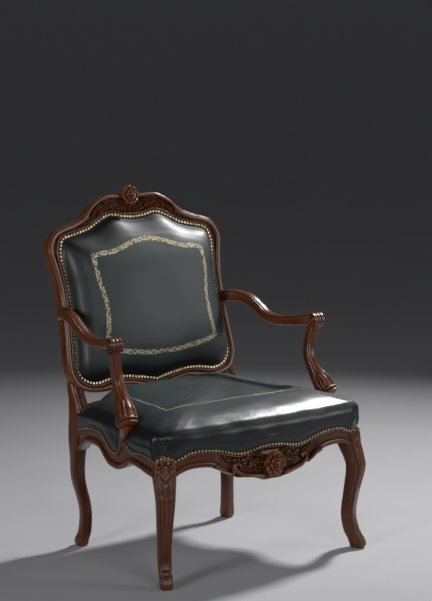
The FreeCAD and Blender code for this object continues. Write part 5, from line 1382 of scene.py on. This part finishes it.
class FAUTEUIL_OT_seat_leather(FauteuilOperator, bpy.types.Operator):
    """Stretches the leather over the seat"""
    bl_idname = "fauteuil.seat_leather"
    bl_label = "Seat leather"

    def build(self, scene):
        count = 700
        rows = seat_rows(0, 0)[2:]
        dense = spline([(a, b * 300, c, d) for a, b, c, d in rows], spacing=5.0, measure=3)
        rings = []
        base = seat_outline(-0.1, count)
        low = nail_height(base[:, 0], base[:, 1]) - 5
        outward = (seat_outline(9.9, count) - base) / 10
        step = np.linalg.norm(np.roll(base, -1, axis=0) - base, axis=1).mean()

        def clear(height):
            """1 well above the nail line, 0 on it, by the true distance from the leather's edge."""
            far = np.min([np.hypot(k * step, height - np.roll(low, k)) for k in range(-12, 13)], axis=0)
            return ease(far, 9.5, 30)

        for share in (0.0, 0.03, 0.1, 0.2, 0.3, 0.4, 0.5, 0.6, 0.7, 0.8, 0.9):
            height = low + (RAIL_TOP - low) * share
            wide = np.full(count, -2.2) if share == 0 else 0.35 + 3.55 * clear(height)
            rings.append(np.column_stack([base + outward * wide[:, None], height]))
        middle = np.array([0, SEAT_MIDDLE])
        for wide, scale, high, rear in dense:
            ring = middle + (seat_outline(wide, count, 36 * rear) - middle) * scale / 300
            if high < 396:
                ring = ring - outward * ((wide + 0.1 - 0.35) * (1 - clear(np.full(count, high))))[:, None]
            rings.append(np.column_stack([ring, np.full(count, high)]))
        rings.append(np.column_stack([middle + (ring - middle) * 0.15, np.full(count, 448.9)]))
        cover = skin("seat_leather", np.array(rings))
        points = points_of(cover)
        settle(cover, points[:, 2] < RAIL_TOP)
        points = points_of(cover)
        u = np.abs(points[:, 0])
        # The feet of the arm supports press it down, it swells towards the back, and the posts hold it low.
        foot = np.hypot(u - FOOT_X, points[:, 1] - FOOT_Y)
        press = np.exp(-(foot / 30) ** 2) * ease(points[:, 2], 366, 392)
        points[:, 2] -= 11 * press
        swell = ease(points[:, 1], 0, 145) * ease(points[:, 2], 396, 418) * (1 - ease(u, 150, 245))
        points[:, 2] += 19 * swell
        post = np.hypot(np.maximum(250 - u, 0), np.minimum(points[:, 1] - 152, 0))
        points[:, 2] -= 20 * np.exp(-(post / 46) ** 2) * ease(points[:, 2], 376, 404)
        points[:, 0] -= np.sign(points[:, 0]) * 7 * press
        # The leather is a little uneven over its stuffing.
        x, y = points[:, 0], points[:, 1]
        uneven = np.sin(x / 27 + 1) * np.sin(y / 34 + 2)
        uneven += 0.7 * np.sin(x / 13 + y / 19) + 0.5 * np.sin(x / 41 - y / 9)
        points[:, 2] += 0.45 * uneven * ease(points[:, 2], 392, 410)
        ripple = np.sin(x / 17 + points[:, 2] / 23) * ease(-y, 270, 300) * ease(points[:, 2], 366, 385)
        points[:, 1] -= 0.8 * ripple
        # Two folds meet in a point at each front corner.
        corner = np.column_stack([u - CORNER_X, points[:, 1] - CORNER_Y])
        across = corner @ LEG_ACROSS
        for spread in (-14, 21):
            share = np.clip((401 - points[:, 2]) / 50, 0, 1)
            line = 9 + spread * (1 - share)
            in_front = ease(corner @ LEG_FACE, -24, -16)
            within = ease(points[:, 2], 342, 350) * (1 - ease(points[:, 2], 380, 394))
            fold = scene.fauteuil_leather.crease * np.exp(-((across - line) / 3.8) ** 2) * in_front * within
            points[:, 0] -= np.sign(points[:, 0]) * LEG_FACE[0] * fold
            points[:, 1] -= LEG_FACE[1] * fold
        move_points(cover, points)
        band_marks(cover, points[:, :2], SEAT_BAND, points[:, 2] > SEAT_BAND_LOW)
        # Painted sheen together with wear: the top of the seat is painted a lighter grey than its sides.
        mark(cover, "worn", ease(points[:, 2], 400, 446))
        finish(
            cover, leather("Line-tooled calf leather", line_band, 0.33), "leather", "seat_leather_cover",
            angle=60,
        )


class FAUTEUIL_OT_fillings(FauteuilOperator, bpy.types.Operator):
    """Makes the stuffing, the burlap and the webbing under the leather"""
    bl_idname = "fauteuil.fillings"
    bl_label = "Stuffing, burlap and webbing"

    def build(self, scene):
        lumps = np.random.default_rng(7)
        count = 160
        rows = [
            (10, 1.0, 2.2), (11, 1.0, 6), (16, 1.0, 17), (24, 1.0, 27), (24, 0.975, 33), (24, 0.94, 38),
            (24, 0.86, 45), (24, 0.72, 52), (24, 0.52, 58), (24, 0.30, 61), (24, 0.02, 61.5),
        ]
        back = skin("back_stuffing_hair", back_rings(rows, count))
        places, high = from_back(points_of(back))
        limit = np.maximum(pad_height(places) - 5, 2.5)
        move_points(back, points_of(back) + np.where(high > 3, limit - high, 0)[:, None] * OUT)
        finish(back, curled_hair(), "stuffing", "back_stuffing", angle=60)
        middle = np.array([0, SEAT_MIDDLE])
        rings = []
        for wide, scale, high, rear in seat_rows(6, 380)[2:]:
            ring = middle + (seat_outline(wide - 6, count, 36 * rear) - middle) * scale
            rings.append(np.column_stack([ring, np.maximum(high, 376) + lumps.normal(0, 0.3, count)]))
        seat = skin("seat_stuffing_hair", np.array(rings))
        finish(seat, curled_hair(), "stuffing", "seat_stuffing", angle=60)
        for name, node_name in (("seat_burlap_cloth", "seat_burlap"), ("back_burlap_cloth", "back_burlap")):
            cloth = sheet_over(name, node_name)
            finish(cloth, woven_jute("Jute burlap", "#a98a5c", "#5f4a2c", 1.6), "burlap", node_name)
        for node_name in (
            "seat_webbing_lengthwise", "seat_webbing_crosswise", "back_webbing_upright", "back_webbing_level"
        ):
            straps = straps_over(node_name + "_straps", node_name)
            finish(straps, woven_jute("Jute webbing", "#b59a6e", "#6e5433", 2.2), "webbing", node_name)


class FAUTEUIL_OT_nails(FauteuilOperator, bpy.types.Operator):
    """Drives the brass nails along the edges of the leather"""
    bl_idname = "fauteuil.nails"
    bl_label = "Nails"

    def build(self, scene):
        for node_name in ("seat_nails", "back_nails", "back_outside_nails"):
            heads = nail_heads(node_name + "_heads", node_name)
            finish(heads, aged_brass(), "brass_nails", node_name, angle=50)


class FAUTEUIL_OT_inner_parts(FauteuilOperator, bpy.types.Operator):
    """Gives the rear rail, the corner blocks, the pegs and the screws their finishes"""
    bl_idname = "fauteuil.inner_parts"
    bl_label = "Inner parts"

    def build(self, scene):
        materials = {"rear_seat_rail": waxed_wood("x"), "frame_pegs": waxed_wood("z")}
        for corner in ("front_right", "front_left", "rear_right", "rear_left"):
            materials["corner_block_" + corner] = bare_wood()
        for name in ("arm_screws", "block_screws"):
            materials[name] = cut_steel()
        for name, material in materials.items():
            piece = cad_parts[name]
            piece.data.materials.clear()
            piece.data.materials.append(material)


# Name, place and aim in metres, size in metres, power in watts, spread in degrees.
LAMPS = (
    ("key", (3.0, 0.7, 3.1), (-0.1, -0.1, 0.1), 0.45, 31, 80),
    ("left", (-3.2, -0.9, 1.5), (0, 0.1, 0.7), 0.8, 4.5, 60),
    ("right", (2.6, -2.6, 1.5), (0, 0.1, 0.75), 1.7, 4.5, 60),
    ("front", (-1.2, -4.4, 3.0), (0, 0, 0.5), 2.0, 3.6, 50),
)
CAMERA_PLACE = (-3.4021, -4.4267, 1.5124)
CAMERA_WAY = (0.61037, 0.77847, -0.14636)
CAMERA_LENS = 123.41


class FAUTEUIL_OT_stage(FauteuilOperator, bpy.types.Operator):
    """Lays the floor and sets up the lamps and the camera"""
    bl_idname = "fauteuil.stage"
    bl_label = "Stage"

    def build(self, scene):
        deselect()
        bpy.ops.mesh.primitive_plane_add(size=3000, location=(0, 0, 0))
        floor = bpy.context.object
        floor.name = "floor"
        # Matt grey paint with faint scuffs takes a soft shadow and mirrors nothing.
        material, tree, shader = start_material("Painted studio floor")
        place = node(tree, "ShaderNodeTexCoord", out=3)
        scuffs = node(tree, "ShaderNodeTexNoise", {"Vector": place, "Scale": 3, "Detail": 4})
        shade = list(scene.fauteuil_colours.floor)
        tone = overlaid(tree, shade, [c * 0.95 for c in shade[:3]] + [1], scuffs, 0.3, 0.7)
        plug(tree, shader, {"Base Color": tone, "Roughness": 0.6})
        floor.data.materials.append(material)
        world = bpy.data.worlds.new("Studio")
        scene.world = world
        world.use_nodes = True
        background = world.node_tree.nodes["Background"]
        plug(world.node_tree, background, {"Color": linear("#c9cacc"), "Strength": 0.07})
        for name, place, aim, size, power, spread in LAMPS:
            bpy.ops.object.light_add(type="AREA", location=place)
            lamp = bpy.context.object
            lamp.name = name + "_softbox"
            lamp.data.size = size
            lamp.data.energy = power
            lamp.data.spread = math.radians(spread)
            lamp.rotation_euler = (Vector(aim) - Vector(place)).to_track_quat("-Z", "Y").to_euler()
        bpy.ops.object.camera_add(location=CAMERA_PLACE)
        camera = bpy.context.object
        camera.name = "camera"
        camera.rotation_euler = Vector(CAMERA_WAY).to_track_quat("-Z", "Y").to_euler()
        camera.data.lens = CAMERA_LENS
        camera.data.sensor_width = 36
        camera.data.sensor_fit = "AUTO"
        scene.camera = camera
        scene.view_settings.view_transform = "Standard"


def components(name):
    """Points of each separate body of a CAD node, in millimetres, with its triangles."""
    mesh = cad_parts[name].data
    points = np.empty(len(mesh.vertices) * 3)
    mesh.vertices.foreach_get("co", points)
    points = points.reshape(-1, 3) / MM
    keys = {}
    merged = [keys.setdefault(tuple(p), len(keys)) for p in np.round(points, 2)]
    root = list(range(len(keys)))

    def find(i):
        while root[i] != i:
            root[i] = root[root[i]]
            i = root[i]
        return i

    for polygon in mesh.polygons:
        first = find(merged[polygon.vertices[0]])
        for i in polygon.vertices[1:]:
            root[find(merged[i])] = first
    groups = {}
    for place, i in keys.items():
        groups.setdefault(find(i), []).append(place)
    return [np.array(group) for group in groups.values()]


NAIL_RADIUS, NAIL_HEIGHT = 4.0, 2.6


def nail_heads(name, node_name):
    """A brass head at the place and in the direction of each nail of a CAD node."""
    deselect()
    bpy.ops.mesh.primitive_uv_sphere_add(segments=10, ring_count=8, radius=1, location=(0, 0, 0))
    head = bpy.context.object
    bpy.ops.object.mode_set(mode="EDIT")
    bpy.ops.mesh.select_all(action="SELECT")
    bpy.ops.mesh.bisect(plane_co=(0, 0, -0.1), plane_no=(0, 0, -1), clear_outer=True, use_fill=True)
    bpy.ops.object.mode_set(mode="OBJECT")
    shape = points_of(head) * MM
    shape[:, 2] = (shape[:, 2] + 0.1) * NAIL_HEIGHT / 1.1
    shape[:, :2] *= NAIL_RADIUS
    faces = [list(p.vertices) for p in head.data.polygons]
    bpy.data.objects.remove(head)
    vary = np.random.default_rng(11)
    points, polygons = [], []
    for group in components(node_name):
        centre = group.mean(axis=0)
        axis = np.linalg.svd(group - centre)[2][2]
        height = (group - centre) @ axis
        if abs(height.min()) > abs(height.max()):
            axis, height = -axis, -height
        base = centre + axis * height.min()
        axis = axis + vary.normal(0, 0.04, 3)
        axis /= np.linalg.norm(axis)
        side = np.cross(axis, (0.3, 0.2, 0.9))
        side /= np.linalg.norm(side)
        up = np.cross(axis, side)
        spread = vary.uniform(0.82, 0.9)
        start = sum(len(p) for p in points)
        points.append(base + spread * (shape[:, :1] * side + shape[:, 1:2] * up) + shape[:, 2:] * axis)
        polygons += [[start + i for i in face] for face in faces]
    mesh = bpy.data.meshes.new(name)
    mesh.from_pydata((np.vstack(points) * MM).tolist(), [], polygons)
    piece = bpy.data.objects.new(name, mesh)
    bpy.context.scene.collection.objects.link(piece)
    return piece


def straps_over(name, node_name):
    """Woven straps in the place of each strap of a CAD node."""
    pieces = []
    for group in components(node_name):
        low, high = group.min(axis=0), group.max(axis=0)
        centre = (low + high) / 2
        frame_axes = np.linalg.svd(group - centre)[2]
        local = (group - centre) @ frame_axes.T
        half = (local.max(axis=0) - local.min(axis=0)) / 2
        middle = (local.max(axis=0) + local.min(axis=0)) / 2
        s = np.linspace(-1, 1, 60)[:, None]
        low_edge = [(across, -1) for across in (-1, -0.9, 0, 0.9, 1)]
        loop = np.array(low_edge + [(across, 1) for across, _ in reversed(low_edge)])
        parts = (s * half[0], loop[:, 0] * half[1] * 0.995, loop[:, 1] * half[2] * 0.9)
        rings = np.stack([np.broadcast_to(part, (len(s), len(loop))) for part in parts], axis=2) + middle
        pieces.append(skin("strap", rings @ frame_axes + centre))
    return joined(name, pieces)


def sheet_over(name, node_name):
    """A cloth in the place of a flat CAD sheet, with the same shape."""
    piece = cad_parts[node_name]
    pick(piece)
    bpy.ops.object.duplicate()
    cloth = bpy.context.object
    cloth.name = name
    cloth.data.name = name
    for key in [key for key in cloth.keys() if key.startswith("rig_")]:
        del cloth[key]
    close_up(merge=0.00001)
    return cloth


class FAUTEUIL_PT_panel(bpy.types.Panel):
    """Lists the steps that make the chair"""
    bl_label = "Carved Fauteuil"
    bl_idname = "FAUTEUIL_PT_panel"
    bl_space_type = "VIEW_3D"
    bl_region_type = "UI"
    bl_category = "Fauteuil"

    def draw(self, context):
        for settings in (
            context.scene.fauteuil_carving, context.scene.fauteuil_leather, context.scene.fauteuil_colours
        ):
            for name in settings.__annotations__:
                self.layout.prop(settings, name)
        for step in STEPS:
            self.layout.operator(step.bl_idname)


SETTINGS = {
    "fauteuil_carving": CarvingSizes, "fauteuil_leather": LeatherSizes, "fauteuil_colours": ChairColours
}
STEPS = (
    FAUTEUIL_OT_back_frame, FAUTEUIL_OT_front_legs, FAUTEUIL_OT_seat_rails, FAUTEUIL_OT_arms,
    FAUTEUIL_OT_arm_supports, FAUTEUIL_OT_back_leather, FAUTEUIL_OT_seat_leather, FAUTEUIL_OT_fillings,
    FAUTEUIL_OT_nails, FAUTEUIL_OT_inner_parts, FAUTEUIL_OT_stage,
)


def register():
    """Registers the settings, the steps and the panel."""
    for kind in (*SETTINGS.values(), *STEPS, FAUTEUIL_PT_panel):
        bpy.utils.register_class(kind)
    for name, kind in SETTINGS.items():
        setattr(bpy.types.Scene, name, bpy.props.PointerProperty(type=kind))


def unregister():
    """Takes them away again."""
    for name in SETTINGS:
        delattr(bpy.types.Scene, name)
    for kind in (FAUTEUIL_PT_panel, *reversed(STEPS), *SETTINGS.values()):
        bpy.utils.unregister_class(kind)


def main():
    """Makes the whole chair on its stage."""
    register()
    for step in STEPS:
        area, verb = step.bl_idname.split(".")
        getattr(getattr(bpy.ops, area), verb)()


if __name__ == "__main__":
    main()
